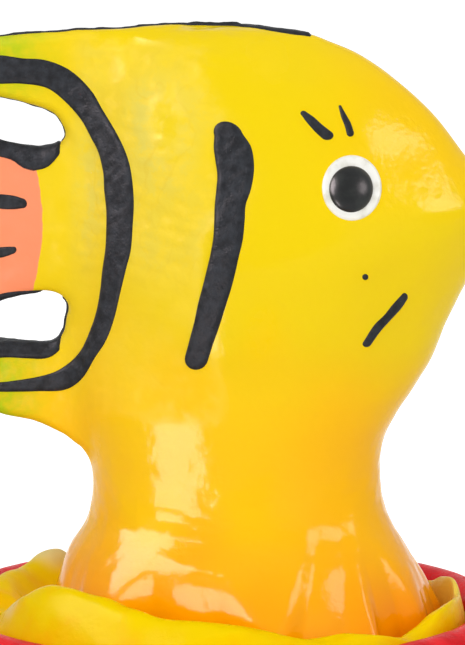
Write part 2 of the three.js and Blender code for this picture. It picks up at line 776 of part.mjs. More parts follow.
// The painted line along the ridge of the back lies on both sides at once.
const ridge = prism(stroke(RIDGE_LINE_SHARES), -RIDGE_LINE_HALF_WIDTH, RIDGE_LINE_HALF_WIDTH)
  .intersect(skinOverPaint)
  .subtract(skinUnderPaint);
assembly.add(meshOf(ridge, "ridge_line", CHARCOAL, 0.5));

// The origin lies under the middle of the whole length.
assembly.position.x = (TAIL_REACH - RIM_RADIUS - ROLL_RADIUS) / 2;
const fish = new THREE.Group();
fish.add(assembly);
export default fish;
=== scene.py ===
"""The looks of the rubber fish cap, in Blender: dipped skin, painted strokes, folded crown and rolled rim.

Shapes are worked out in millimetres, with x = 0 in the middle of the rim, the fish looking along +X and the
camera on -Y. They move into the frame, in metres, when a piece is made."""

import math

import bmesh
import bpy
import numpy as np
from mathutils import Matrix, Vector


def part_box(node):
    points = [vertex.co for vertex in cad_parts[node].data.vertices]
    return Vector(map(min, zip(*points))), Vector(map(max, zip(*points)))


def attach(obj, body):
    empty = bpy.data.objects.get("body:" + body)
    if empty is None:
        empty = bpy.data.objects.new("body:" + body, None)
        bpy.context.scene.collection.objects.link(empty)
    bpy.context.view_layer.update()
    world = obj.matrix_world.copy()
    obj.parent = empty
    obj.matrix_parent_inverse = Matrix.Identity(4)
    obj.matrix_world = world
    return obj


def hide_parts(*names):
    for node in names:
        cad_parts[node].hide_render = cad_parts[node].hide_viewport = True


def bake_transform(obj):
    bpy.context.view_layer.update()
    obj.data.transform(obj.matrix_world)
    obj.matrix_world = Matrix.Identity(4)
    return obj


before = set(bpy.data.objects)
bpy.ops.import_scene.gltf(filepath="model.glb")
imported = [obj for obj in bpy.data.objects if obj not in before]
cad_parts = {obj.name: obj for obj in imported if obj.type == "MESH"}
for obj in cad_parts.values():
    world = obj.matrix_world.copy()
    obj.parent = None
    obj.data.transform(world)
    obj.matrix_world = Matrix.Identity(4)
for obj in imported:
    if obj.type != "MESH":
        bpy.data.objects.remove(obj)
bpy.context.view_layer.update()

MM = 0.001
RIM_MIDDLE = sum(corner.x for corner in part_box("rim_roll")) / 2 / MM

# Sizes, in millimetres, as in the solids
TOTAL_HEIGHT = 224.3
SNOUT_REACH = 101.5
TAIL_REACH = 141.0
BODY_HALF_THICKNESS = 40.0
SKIN_WALL = 2.0
RIM_RADIUS = 98.0
ROLL_RADIUS = 8.0
ROLL_WALL = 1.7
RIM_HEIGHT = 7.5
CROWN_WALL = 1.3
CROWN_LOWEST = 4.9
FOOT_BOTTOM = 6.0
FOOT_REAR, FOOT_FRONT, FOOT_SIDE = -62.4, 80.2, 65.4
FOOT_MIDDLE, FOOT_HALF = 8.9, 71.3
NECK_TOP = 70.0
LOBE_HALF_THICKNESS = 4.6
TAIL_MIDDLE = 154.1
TAIL_START = 49.8
TAIL_CUT = 59.0
TAIL_HALF_THICKNESS = 7.5
TAIL_HALF_HEIGHT = 46.0
TAIL_FORK = 0.07

# The photograph's camera
PICTURE_WIDTH, PICTURE_HEIGHT = 465, 645
CAMERA_PLACE = np.array([4.4, -1350.0, 305.2])
CAMERA_PITCH = math.radians(7.945)
FOCAL_PIXELS = 3786.3

# Fineness
SKIN_STEP = 1.3
PAINT_STEP = 2.2  # pixels along a stroke
NECK_AROUND = 240
CROWN_AROUND = 384
RIM_AROUND = 288
INSIDE_AROUND = 72
CROWN_SECTORS = 24

# Height as a share of the whole, rear and front edge as shares of the snout's reach, half thickness as a share.
BODY = np.array([
    [0, -0.46, 0.567, 0.87], [0.264, -0.46, 0.567, 0.87], [0.33, -0.478, 0.578, 0.868], [0.375, -0.498, 0.628, 0.868],
    [0.41, -0.511, 0.681, 0.87], [0.435, -0.516, 0.715, 0.874], [0.46, -0.52, 0.746, 0.895],
    [0.49, -0.518, 0.773, 0.935], [0.526, -0.512, 0.802, 0.97], [0.584, -0.51, 0.868, 0.995],
    [0.646, -0.508, 0.948, 1], [0.69, -0.506, 0.995, 0.97], [0.715, -0.505, 0.995, 0.94],
    [0.75, -0.502, 0.934, 0.89], [0.8, -0.497, 0.846, 0.8], [0.85, -0.494, 0.762, 0.7], [0.9, -0.49, 0.65, 0.58],
    [0.94, -0.46, 0.52, 0.45], [0.972, -0.38, 0.385, 0.31], [0.99, -0.28, 0.28, 0.19], [1, -0.12, 0.11, 0.07],
])
# Height as a share, then the share of the way out to the foot's lower edge: rear, front, sides.
FLARE = np.array([
    [0.027, 1, 1, 1], [0.06, 0.93, 0.893, 0.9], [0.1, 0.8, 0.70, 0.76], [0.15, 0.52, 0.425, 0.5],
    [0.2, 0.11, 0.16, 0.17], [0.24, 0.01, 0.045, 0.05], [0.28, 0, 0.006, 0.006], [0.32, 0, 0, 0], [0.36, 0, 0, 0],
])
# Outlines of the two lobes: x as a share of the snout's reach, height as a share of the whole.
DORSAL_LOBE = np.array([
    [-0.1, 0.93], [-0.16, 0.984], [-0.3, 0.992], [-0.45, 0.992], [-0.6, 0.984], [-0.8, 0.975], [-0.96, 0.96],
    [-1.05, 0.93], [-1.03, 0.903], [-0.93, 0.89], [-0.78, 0.882], [-0.68, 0.874], [-0.585, 0.858], [-0.53, 0.828],
    [-0.42, 0.805],
])
ANAL_LOBE = np.array([
    [-0.42, 0.585], [-0.53, 0.54], [-0.552, 0.508], [-0.6, 0.488], [-0.68, 0.486], [-0.78, 0.487], [-0.92, 0.48],
    [-1.0, 0.455], [-0.99, 0.425], [-0.9, 0.395], [-0.78, 0.376], [-0.66, 0.3635], [-0.57, 0.343], [-0.5, 0.325],
    [-0.42, 0.34],
])
# Place along the tail, half height and half thickness as shares.
TAIL = np.array([
    [0, 0.68, 1], [0.1, 0.575, 0.9], [0.17, 0.555, 0.76], [0.32, 0.62, 0.56], [0.6, 0.81, 0.44],
    [0.85, 0.95, 0.36], [1, 1, 0.26],
])


def smooth(value, low, high):
    share = np.clip((value - low) / (high - low), 0, 1)
    return share * share * (3 - 2 * share)


def mix(a, b, share):
    return a + (b - a) * share


def all_round(count):
    """Angles that go once round."""
    return np.arange(count) / count * 2 * math.pi


def unit(vectors):
    return vectors / np.linalg.norm(vectors, axis=-1)[..., None]


def along(table, places):
    """A smooth curve through every row of a table whose first column rises."""
    table = np.asarray(table, float)
    places = np.asarray(places, float)
    i = np.clip(np.searchsorted(table[:, 0], places, side="right") - 1, 0, len(table) - 2)
    low, high = table[i], table[i + 1]
    before, after = table[np.maximum(i - 1, 0)], table[np.minimum(i + 2, len(table) - 1)]
    span = (high[..., 0] - low[..., 0])[..., None]
    u = np.clip((places - low[..., 0])[..., None] / span, 0, 1)
    run_low = (high[..., 0] - before[..., 0])[..., None]
    run_high = (after[..., 0] - low[..., 0])[..., None]
    slope_low = (high[..., 1:] - before[..., 1:]) / run_low * span
    slope_high = (after[..., 1:] - low[..., 1:]) / run_high * span
    return (
        low[..., 1:] * (2 * u**3 - 3 * u**2 + 1)
        + slope_low * (u**3 - 2 * u**2 + u)
        + high[..., 1:] * (3 * u**2 - 2 * u**3)
        + slope_high * (u**3 - u**2)
    )


def round_curve(points, steps):
    """A smooth closed curve through points."""
    points = np.asarray(points, float)
    t = np.arange(steps)[:, None] / steps
    pieces = []
    for i in range(len(points)):
        a, b, c, d = (points[(i + k) % len(points)] for k in (-1, 0, 1, 2))
        pieces.append(b + 0.5 * t * (c - a + t * (2 * a - 5 * b + 4 * c - d + t * (3 * (b - c) + d - a))))
    return np.concatenate(pieces)


class Waves:
    """Smooth noise of about unit size: a sum of plane waves with fixed random directions."""

    def __init__(self, seed, length, count=28, stretch=(1, 1, 1)):
        dice = np.random.default_rng(seed)
        directions = unit(dice.normal(size=(count, 3)))
        scale = dice.uniform(0.7, 1.5, (count, 1)) * 2 * math.pi / length
        self.waves = directions * scale / np.array(stretch, float)
        self.phases = dice.uniform(0, 2 * math.pi, count)
        self.size = math.sqrt(2 / count)

    def __call__(self, x, y, z):
        total = 0
        for (a, b, c), phase in zip(self.waves, self.phases):
            total = total + np.sin(a * x + b * y + c * z + phase)
        return total * self.size


# The skin as a field of distances

HEIGHTS = np.arange(-10, TOTAL_HEIGHT + 20, 0.25)
_body = along(BODY, HEIGHTS / TOTAL_HEIGHT)
_flare = along(FLARE, HEIGHTS / TOTAL_HEIGHT)
SECTIONS = np.stack([
    mix(_body[:, 0] * SNOUT_REACH, FOOT_REAR, _flare[:, 0]),
    mix(_body[:, 1] * SNOUT_REACH, FOOT_FRONT, _flare[:, 1]),
    mix(_body[:, 2] * BODY_HALF_THICKNESS, FOOT_SIDE, _flare[:, 2]),
    0.34 * smooth(HEIGHTS / TOTAL_HEIGHT, 0.33, 0.55),
])
# Scoops that the drawn foot falls in between its ridges: angle in degrees, half width in degrees, height of the
# top, depth, and how many degrees they lean over for each millimetre up.
SCOOPS = [
    (-110, 27, 39, 13.0, 0), (-67, 15, 56, 7.0, 0.35), (-38, 11, 44, 6.0, 0), (-12, 12, 38, 3.5, 0),
    (20, 13, 42, 4.0, 0), (56, 14, 36, 6.0, 0), (92, 14, 44, 6.5, 0.2), (126, 13, 36, 6.0, 0), (158, 12, 40, 3.0, 0),
    (-156, 9, 40, 3.0, 0),
]


def scooped(degrees, z):
    """How deep each place of the foot lies in its scoops."""
    out = 0
    for place, width, top, depth, lean in SCOOPS:
        away = np.abs((degrees - place - lean * (z - FOOT_BOTTOM) + 180) % 360 - 180) / width
        below = np.clip((top - z) / (top - FOOT_BOTTOM), 0, 1)
        fall = 1.15 * below * below / (below + 0.15)
        out = out + depth * fall * (1 - smooth(away / (1 - 0.45 * (1 - below) ** 2), 0.4, 1.15))
    return out


def pleat(angle, z):
    """How far the foot's wall stands out at an angle and a height."""
    return (1.2 + 1.2 * np.cos(angle)) * (1 - smooth(z, 14, 66)) - scooped(np.degrees(angle), z)


def body_value(x, y, z):
    rear, front, thick, pinch = (np.interp(z, HEIGHTS, row) for row in SECTIONS)
    middle, half = (rear + front) / 2, (front - rear) / 2
    if np.min(z) < 64:
        out = pleat(np.arctan2(y / thick, (x - middle) / half), z)
        half, thick = half + out, thick + out
    u = (x - middle) / half
    w = y / (thick * (1 - pinch * np.minimum(u * u, 1.5)))
    return np.sqrt(u * u + w * w) - 1


def distance(value, x, y, z):
    """The distance to the zero level of a function that is -1 in its middle. Away from that level, how fast the
    section changes with height counts for less, or the flat ridge would seem near from everywhere."""
    step = 0.4
    here = value(x, y, z)
    level = np.hypot(value(x + step, y, z) - here, value(x, y + step, z) - here) / step
    steep = np.abs(value(x, y, z + step) - here) / step / np.maximum(here + 1, 0.3)
    steep = mix(steep, np.minimum(steep, 0.6 * level), smooth(here, 0.05, 0.4))
    return here / np.sqrt(level**2 + steep**2 + 1e-12)


def smooth_min(a, b, reach):
    h = np.clip(0.5 + 0.5 * (b - a) / reach, 0, 1)
    return mix(b, a, h) - reach * h * (1 - h)


def smooth_max(a, b, reach):
    return -smooth_min(-a, -b, reach)


class Plate:
    """A flat lobe: the distance to an outline in the x-z plane, read from a fine grid, and rounded edges."""

    STEP = 0.5
    MARGIN = 20

    def __init__(self, shares):
        outline = round_curve(shares * (SNOUT_REACH, TOTAL_HEIGHT), 12)
        self.low = outline.min(0) - self.MARGIN
        counts = np.ceil((outline.max(0) + self.MARGIN - self.low) / self.STEP).astype(int)
        self.high = self.low + (counts - 1) * self.STEP
        xs = self.low[0] + np.arange(counts[0]) * self.STEP
        zs = self.low[1] + np.arange(counts[1]) * self.STEP
        grid = np.stack(np.meshgrid(xs, zs, indexing="ij"), -1).reshape(-1, 2)
        nearest = np.full(len(grid), np.inf)
        inside = np.zeros(len(grid), bool)
        for a, b in zip(outline, np.roll(outline, -1, 0)):
            run = b - a
            t = np.clip(((grid - a) @ run) / (run @ run), 0, 1)
            nearest = np.minimum(nearest, ((grid - a - t[:, None] * run) ** 2).sum(1))
            crosses = (a[1] > grid[:, 1]) != (b[1] > grid[:, 1])
            if a[1] != b[1]:
                inside ^= crosses & (grid[:, 0] < a[0] + run[0] * (grid[:, 1] - a[1]) / run[1])
        flat = np.sqrt(nearest) * np.where(inside, -1, 1)
        self.flat = flat.reshape(counts)

    def outline_distance(self, x, z):
        x, z = np.broadcast_arrays(x, z)
        i = (np.clip(x, self.low[0], self.high[0] - 1e-6) - self.low[0]) / self.STEP
        j = (np.clip(z, self.low[1], self.high[1] - 1e-6) - self.low[1]) / self.STEP
        i0, j0 = i.astype(int), j.astype(int)
        i1, j1 = np.minimum(i0 + 1, self.flat.shape[0] - 1), np.minimum(j0 + 1, self.flat.shape[1] - 1)
        u, v = i - i0, j - j0
        low = mix(self.flat[i0, j0], self.flat[i1, j0], u)
        high = mix(self.flat[i0, j1], self.flat[i1, j1], u)
        outside = np.hypot(
            x - np.clip(x, self.low[0], self.high[0]), z - np.clip(z, self.low[1], self.high[1])
        )
        return mix(low, high, v) + outside

    def __call__(self, x, y, z):
        edge = 3.4
        across = self.outline_distance(x, z) + edge
        deep = np.abs(y) - LOBE_HALF_THICKNESS + edge
        return np.hypot(np.maximum(across, 0), np.maximum(deep, 0)) + np.minimum(np.maximum(across, deep), 0) - edge


DORSAL, ANAL = Plate(DORSAL_LOBE), Plate(ANAL_LOBE)
_places = np.linspace(0, 1, 200)
_tail_half, _tail_thick = along(TAIL, _places).T * ((TAIL_HALF_HEIGHT,), (TAIL_HALF_THICKNESS,))
TAIL_LENGTH = TAIL_REACH - TAIL_START


def tail_value(x, y, z):
    place = np.clip((-x - TAIL_START) / TAIL_LENGTH, 0, 1)
    half, thick = np.interp(place, _places, _tail_half), np.interp(place, _places, _tail_thick)
    return np.sqrt((y / thick) ** 4 + ((z - TAIL_MIDDLE) / half) ** 2) - 1


def tail_field(x, y, z):
    step = 0.4
    here = tail_value(x, y, z)
    rise = np.hypot(tail_value(x, y + step, z) - here, tail_value(x, y, z + step) - here)
    sides = here * step / np.sqrt(rise**2 + 1e-12)
    place = np.clip((-x - TAIL_START) / TAIL_LENGTH, 0, 1)
    rise = (z - TAIL_MIDDLE) / np.interp(place, _places, _tail_half)
    end = TAIL_LENGTH * (1 - TAIL_FORK * (1 - np.minimum(rise * rise, 1)))
    return smooth_max(smooth_max(sides, -x - TAIL_START - end, 2), x + TAIL_START, 3)


UNEVEN = Waves(3, 46)
HUMPS = Waves(5, 17)
CREASES = Waves(7, 7.5, stretch=(1.6, 1, 0.75))


def dents(x, y, z):
    """How far the handmade skin stands off the plain form."""
    cheek = smooth(x, -58, -40) * (1 - smooth(x, -4, 14)) * smooth(z, 120, 140)
    top = smooth(z, 196, 206) * smooth(x, -70, -50) * (1 - smooth(x, 5, 30))
    neck = (1 - smooth(z, 66, 84)) * smooth(z, 20, 36)
    out = 0.32 * UNEVEN(x, y, z) + 0.05 * HUMPS(x, y, z)
    out = out + (0.07 * cheek + 0.05 * top + 0.05 * neck) * CREASES(x + 0.6 * z, y, z)
    return out


def skin(x, y, z, dented=True):
    """The distance to the skin, negative inside."""
    d = distance(body_value, x, y, z)
    d = smooth_max(d, z - TOTAL_HEIGHT + 0.2, 3)
    d = smooth_min(d, DORSAL(x, y, z), 7.5)
    d = smooth_min(d, ANAL(x, y, z), 8)
    d = smooth_min(d, tail_field(x, y, z), 6.5)
    return d - dents(x, y, z) if dented else d


def columns(points):
    return points[:, 0], points[:, 1], points[:, 2]


def slope(points, step=0.5):
    """The direction in which the skin faces, with its length."""
    out = np.empty_like(points)
    for axis in range(3):
        shift = np.zeros(3)
        shift[axis] = step
        out[:, axis] = (skin(*columns(points + shift)) - skin(*columns(points - shift))) / (2 * step)
    return out


def facing(points):
    return unit(slope(points))


def settle(points, level=False, rounds=4):
    """Moves points onto the skin, each along its own slope, or level with the floor."""
    points = np.array(points, float)
    for _ in range(rounds):
        grade = slope(points)
        if level:
            grade[:, 2] = 0
        away = skin(*columns(points))
        move = -(away / np.maximum((grade**2).sum(1), 0.05))[:, None] * grade
        points += np.clip(move, -3, 3)
    return points


def strike(origins, directions, rounds=48):
    """Where straight lines first meet the skin."""
    directions = unit(directions)
    points = np.array(origins, float)
    for i in range(rounds):
        points += directions * np.clip(skin(*columns(points)), -6, 12)[:, None] * (0.75 if i < 40 else 0.5)
    return points


def sights(pixels):
    """Lines from the camera through places of the photograph: a start near the fish, and a direction."""
    pixels = np.asarray(pixels, float)
    across = (pixels[:, 0] - PICTURE_WIDTH / 2) / FOCAL_PIXELS
    up = (PICTURE_HEIGHT / 2 - pixels[:, 1]) / FOCAL_PIXELS
    directions = np.stack([
        across,
        math.cos(CAMERA_PITCH) + up * math.sin(CAMERA_PITCH),
        -math.sin(CAMERA_PITCH) + up * math.cos(CAMERA_PITCH),
    ], 1)
    reach = (-BODY_HALF_THICKNESS * 1.6 - CAMERA_PLACE[1]) / directions[:, 1]
    return CAMERA_PLACE + directions * reach[:, None], directions


def on_side(pixels, side):
    """Places of the near side of the fish by pixel, or the same places on its far side."""
    points = strike(*sights(pixels))
    if side > 0:
        points[:, 1] = BODY_HALF_THICKNESS * 1.6
        points = strike(points, np.tile((0.0, -1.0, 0.0), (len(points), 1)))
    return points


# Making pieces


def add_object(name, data):
    thing = bpy.data.objects.new(name, data)
    bpy.context.scene.collection.objects.link(thing)
    return thing


def make(name, points, faces, material, normals=None, masks=None):
    """A piece with smooth faces. masks are values per point that its material reads."""
    mesh = bpy.data.meshes.new(name)
    placed = (np.asarray(points) + (RIM_MIDDLE, 0, 0)) * MM
    mesh.from_pydata(placed.tolist(), [], [list(map(int, face)) for face in faces])
    mesh.polygons.foreach_set("use_smooth", np.ones(len(mesh.polygons), bool))
    rest = mesh.attributes.new("rest", "FLOAT_VECTOR", "POINT")
    rest.data.foreach_set("vector", np.asarray(points, np.float32).ravel() * 0.1)
    for key, values in (masks or {}).items():
        layer = mesh.attributes.new(key, "FLOAT", "POINT")
        layer.data.foreach_set("value", np.asarray(values, np.float32))
    if normals is not None:
        mesh.normals_split_custom_set_from_vertices(np.asarray(normals).tolist())
    mesh.update()
    piece = add_object(name, mesh)
    mesh.materials.append(material)
    return piece


def grid_faces(rows, across, closed=False, flip=False):
    i, j = np.meshgrid(np.arange(rows - 1), np.arange(across - (0 if closed else 1)), indexing="ij")
    i, j = i.ravel(), j.ravel()
    k = (j + 1) % across
    faces = np.stack([i * across + j, i * across + k, (i + 1) * across + k, (i + 1) * across + j], 1)
    return faces[:, ::-1] if flip else faces


def surface_net(low, high, step):
    """The skin as a mesh of quads between two corners."""
    counts = np.ceil((np.array(high) - low) / step).astype(int) + 1
    x, y, z = (np.asarray(low[a]) + np.arange(counts[a]) * step for a in range(3))
    value = skin(x[:, None, None], y[None, :, None], z[None, None, :], dented=False)
    inside = value < 0
    cells = counts - 1
    total = np.zeros((int(np.prod(cells)), 3))
    number = np.zeros(int(np.prod(cells)))
    quads = []
    strides = np.array([cells[1] * cells[2], cells[2], 1])
    for axis in range(3):
        a = [slice(None)] * 3
        b = [slice(None)] * 3
        a[axis], b[axis] = slice(0, -1), slice(1, None)
        cut = np.argwhere(inside[tuple(a)] != inside[tuple(b)])
        other = [k for k in range(3) if k != axis]
        keep = np.all((cut[:, other] > 0) & (cut[:, other] < cells[other]), 1)
        cut = cut[keep]
        ahead = cut.copy()
        ahead[:, axis] += 1
        v0, v1 = value[tuple(cut.T)], value[tuple(ahead.T)]
        place = cut.astype(float)
        place[:, axis] += v0 / (v0 - v1)
        u, v = other if axis != 1 else other[::-1]
        corners = []
        for du, dv in ((-1, -1), (0, -1), (0, 0), (-1, 0)):
            cell = cut.copy()
            cell[:, u] += du
            cell[:, v] += dv
            index = cell @ strides
            corners.append(index)
            np.add.at(number, index, 1)
            np.add.at(total, index, place)
        quad = np.stack(corners, 1)
        outward = v0 < 0
        quad[~outward] = quad[~outward][:, ::-1]
        quads.append(quad)
    used = np.flatnonzero(number)
    label = np.full(len(number), -1)
    label[used] = np.arange(len(used))
    points = total[used] / number[used][:, None] * step + np.array(low, float)
    return points, label[np.concatenate(quads)]


def clip(points, faces, normal, offset):
    """Cuts a mesh along a plane, and returns the part in front of it and the part behind it."""
    parts = []
    for sign in (1, -1):
        mesh = bpy.data.meshes.new("cut")
        mesh.from_pydata(points.tolist(), [], faces if isinstance(faces, list) else faces.tolist())
        bm = bmesh.new()
        bm.from_mesh(mesh)
        plane = np.array(normal, float) * offset
        bmesh.ops.bisect_plane(
            bm, geom=bm.verts[:] + bm.edges[:] + bm.faces[:], plane_co=plane.tolist(), plane_no=normal,
            clear_outer=sign < 0, clear_inner=sign > 0,
        )
        bm.verts.index_update()
        co = np.array([v.co for v in bm.verts], float).reshape(-1, 3)
        parts.append((co, [[v.index for v in f.verts] for f in bm.faces]))
        bm.free()
        bpy.data.meshes.remove(mesh)
    return parts


# Materials


def principled(name, color, roughness, specular=0.5):
    """A material and the nodes that it gets."""
    material = bpy.data.materials.new(name)
    material.use_nodes = True
    nodes = Nodes(material.node_tree)
    for key, value in (("Base Color", (*color, 1)), ("Roughness", roughness), ("Specular IOR Level", specular)):
        nodes.shader.inputs[key].default_value = value
    return material, nodes


def linear(code):
    """A web colour as linear numbers."""
    values = [int(code[i : i + 2], 16) / 255 for i in (0, 2, 4)]
    return tuple(v / 12.92 if v <= 0.04045 else ((v + 0.055) / 1.055) ** 2.4 for v in values)


class Nodes:
    """Short calls for the nodes that the materials use."""

    def __init__(self, tree):
        self.tree = tree
        self.shader = tree.nodes["Principled BSDF"]
        self.rest = self.add("ShaderNodeAttribute", attribute_name="rest").outputs["Vector"]

    def add(self, kind, inputs=(), **settings):
        node = self.tree.nodes.new(kind)
        for key, value in settings.items():
            setattr(node, key, value)
        for key, value in dict(inputs).items():
            if isinstance(value, bpy.types.NodeSocket):
                self.tree.links.new(value, node.inputs[key])
            else:
                node.inputs[key].default_value = value
        return node

    def mask(self, name):
        return self.add("ShaderNodeAttribute", attribute_name=name).outputs["Fac"]

    def noise(self, scale, detail=3.0, rough=0.5, stretch=None):
        vector = self.rest
        if stretch:
            vector = self.add("ShaderNodeMapping", {"Vector": vector, "Scale": stretch}).outputs[0]
        node = self.add(
            "ShaderNodeTexNoise", {"Vector": vector, "Scale": scale, "Detail": detail, "Roughness": rough}
        )
        return node.outputs["Fac"]

    def span(self, value, low, high, to_low=0.0, to_high=1.0):
        node = self.add(
            "ShaderNodeMapRange",
            {"Value": value, "From Min": low, "From Max": high, "To Min": to_low, "To Max": to_high},
            interpolation_type="SMOOTHSTEP",
        )
        return node.outputs["Result"]

    def math(self, operation, a, b=0.0):
        return self.add("ShaderNodeMath", {0: a, 1: b}, operation=operation).outputs[0]

    def blend(self, a, b, share):
        node = self.add("ShaderNodeMix", data_type="RGBA")
        for key, value in ((6, a), (7, b), (0, share)):
            if isinstance(value, bpy.types.NodeSocket):
                self.tree.links.new(value, node.inputs[key])
            else:
                node.inputs[key].default_value = value if key == 0 else (*value, 1)
        return node.outputs[2]

    def specks(self, scale, size, seed=0.0):
        """Small round specks: 1 in a speck, 0 between them."""
        place = self.add("ShaderNodeMapping", {"Vector": self.rest, "Location": (seed, seed, seed)}).outputs[0]
        node = self.add("ShaderNodeTexVoronoi", {"Vector": place, "Scale": scale, "Randomness": 1.0})
        chosen = self.span(self.add("ShaderNodeSeparateColor", {0: node.outputs["Color"]}).outputs[0], 0.80, 0.82)
        near = self.span(node.outputs["Distance"], size, size * 0.5)
        return self.math("MULTIPLY", near, chosen)

    def spots(self, place, scale):
        """The distance to the nearest of many scattered places."""
        inputs = {"Vector": place, "Scale": scale, "Randomness": 1.0}
        return self.add("ShaderNodeTexVoronoi", inputs).outputs["Distance"]

    def finish(self, color, height, strength, depth, roughness=None):
        """Gives the shader its colour, its bumps and perhaps its roughness."""
        bump = self.add("ShaderNodeBump", {"Height": height, "Strength": strength, "Distance": depth})
        links = [(color, "Base Color"), (bump.outputs["Normal"], "Normal")]
        if roughness is not None:
            links.append((roughness, "Roughness"))
        for value, key in links:
            self.tree.links.new(value, self.shader.inputs[key])


YELLOW = linear("F2D100")
WARM = linear("FEC800")
AMBER = linear("FFAD00")
SHADE_ORANGE = linear("FCAA00")
LOW_RIGHT_SHADE = linear("F08600")
SHEEN_YELLOW = linear("E6D252")
CREASE = linear("E0BC00")
GREEN = linear("AFC800")
CORAL = linear("FF9468")
CHARCOAL = linear("2E2E30")
DUST = linear("9A9C9C")
PALE_SPECK = (0.95, 0.9, 0.75)
WHITE_SPECK = (0.7, 0.72, 0.72)


def latex(name, tail=False):
    """Dipped rubber: yellow above and amber on the neck; painted shade in deep orange in the foot's scoops, on the
    right of the neck and low on the right of the foot; a painted sheen on the cheek, crossed by darker lines of
    painted crease shade; and green towards the tips of the fins."""
    material, n = principled(name, YELLOW, 0.3, 0.12)
    color = n.blend(YELLOW, WARM, n.mask("warm"))
    color = n.blend(color, AMBER, n.mask("amber"))
    mottle = n.noise(1.6, 5.0, 0.6)
    patches = n.span(mottle, 0.38, 0.62)
    # painted sheen: a pale, mottled patch on the cheek that stands in for a soft reflection
    cheek_sheen = n.math("MULTIPLY", n.mask("cheek_sheen"), n.span(patches, 0.0, 1.0, 0.35, 1.0))
    color = n.blend(color, SHEEN_YELLOW, cheek_sheen)
    # Darker lines across the painted sheen: painted shade in fine creases
    crossing = n.noise(0.8, 2.0, 0.5, stretch=(1.0, 1.0, 0.7))
    line = n.span(n.math("ABSOLUTE", n.math("SUBTRACT", crossing, 0.5)), 0.0, 0.03, 0.4, 0.0)
    color = n.blend(color, CREASE, n.math("MULTIPLY", line, n.mask("cheek_sheen")))
    leafy = n.math("MULTIPLY", n.mask("green"), n.span(n.noise(2.2), 0.3, 0.7, 0.5, 1.0))
    color = n.blend(color, GREEN, leafy)
    # painted shade: deep orange in the foot's scoops and on the right of the neck
    color = n.blend(color, SHADE_ORANGE, n.mask("deep"))
    # painted shade: darker orange low on the right of the foot
    color = n.blend(color, LOW_RIGHT_SHADE, n.mask("low_right_shade"))
    if tail:
        edge = n.math("ADD", n.mask("coral"), n.math("MULTIPLY", n.math("SUBTRACT", n.noise(3.0), 0.5), 0.25))
        color = n.blend(color, CORAL, n.span(edge, 0.45, 0.55))
    color = n.blend(color, PALE_SPECK, n.math("MULTIPLY", n.specks(1.1, 0.018), 0.8))
    dull = n.math("MULTIPLY", n.mask("dull"), n.span(mottle, 0.3, 0.65, 0.5, 1.0))
    creases = n.math("MULTIPLY", n.noise(1.5, 3.0, 0.55, stretch=(1.0, 1.0, 0.7)), n.mask("crinkle"))
    height = n.math("MULTIPLY", n.noise(3.2, 2.0, 0.5), 0.75)
    height = n.math("ADD", height, n.math("MULTIPLY", n.noise(9.0, 4.0, 0.6), 0.08))
    n.finish(color, n.math("ADD", height, creases), 0.35, 0.0006, n.span(dull, 0.0, 1.0, 0.13, 0.8))
    return material


def black_paint():
    material, n = principled("black_paint", CHARCOAL, 0.45, 0.05)
    cloud = n.noise(3.0, 5.0, 0.6)
    color = n.blend(linear("26272A"), linear("35383D"), n.span(cloud, 0.3, 0.75))
    color = n.blend(color, DUST, n.math("MULTIPLY", n.specks(5.0, 0.05), 0.5))
    color = n.blend(color, WHITE_SPECK, n.math("MULTIPLY", n.specks(2.0, 0.035, 3.0), 0.9))
    height = n.math("MULTIPLY", n.span(n.spots(n.rest, 6.0), 0.1, 0.4), 0.35)
    height = n.math("ADD", height, n.noise(8.0, 4.0, 0.6))
    n.finish(color, height, 0.35, 0.0005, n.span(cloud, 0.3, 0.7, 0.34, 0.52))
    return material


def crown_rubber():
    material, n = principled("crown_rubber", YELLOW, 0.3, 0.02)
    color = n.blend(linear("F6D400"), linear("F8C800"), n.span(n.noise(0.7), 0.45, 0.75))
    # painted shade: darker where the crown lies low, between its folds and the rim
    color = n.blend(color, linear("EEB000"), n.mask("deep"))
    # paler thin rubber on some crests, with painted backlight through thin folds and a painted highlight on the right
    # crest
    color = n.blend(color, linear("EFDC98"), n.mask("thin_and_lit"))
    n.finish(color, n.noise(4.0, 3.0, 0.55), 0.25, 0.0006, n.span(n.noise(2.0, 4.0), 0.3, 0.7, 0.22, 0.34))
    return material


def red_rubber():
    material, n = principled("red_rubber", linear("E01E18"), 0.3, 0.05)
    color = n.blend(linear("F0242C"), linear("D41820"), n.span(n.noise(0.9, 4.0), 0.35, 0.7))
    n.finish(color, n.noise(3.0, 4.0, 0.6), 0.3, 0.0007, n.span(n.noise(2.0, 4.0), 0.3, 0.7, 0.24, 0.42))
    return material


def eye_paint(name, pale, dark, roughness):
    material, n = principled(name, pale, roughness, 0.25)
    n.finish(n.blend(pale, dark, n.span(n.noise(2.5, 4.0), 0.4, 0.75)), n.noise(3.5), 0.2, 0.0004)
    return material


def sponge():
    material, n = principled("sponge", linear("D8D0C0"), 0.9)
    pores = n.spots(n.add("ShaderNodeTexCoord").outputs["Object"], 900.0)
    # Darker in the pores: painted shade
    n.finish(n.blend(linear("B8AE98"), linear("E0DACA"), n.span(pores, 0.1, 0.5)), pores, 0.6, 0.0004)
    return material


SKIN, TAIL_SKIN = latex("fish_latex"), latex("tail_latex", tail=True)
PAINT = black_paint()
CROWN = crown_rubber()
RED = red_rubber()
EYE_WHITE = eye_paint("eye_white", linear("F2F1EA"), linear("DCD9CC"), 0.35)
PUPIL = eye_paint("pupil_black", linear("141616"), linear("232624"), 0.3)


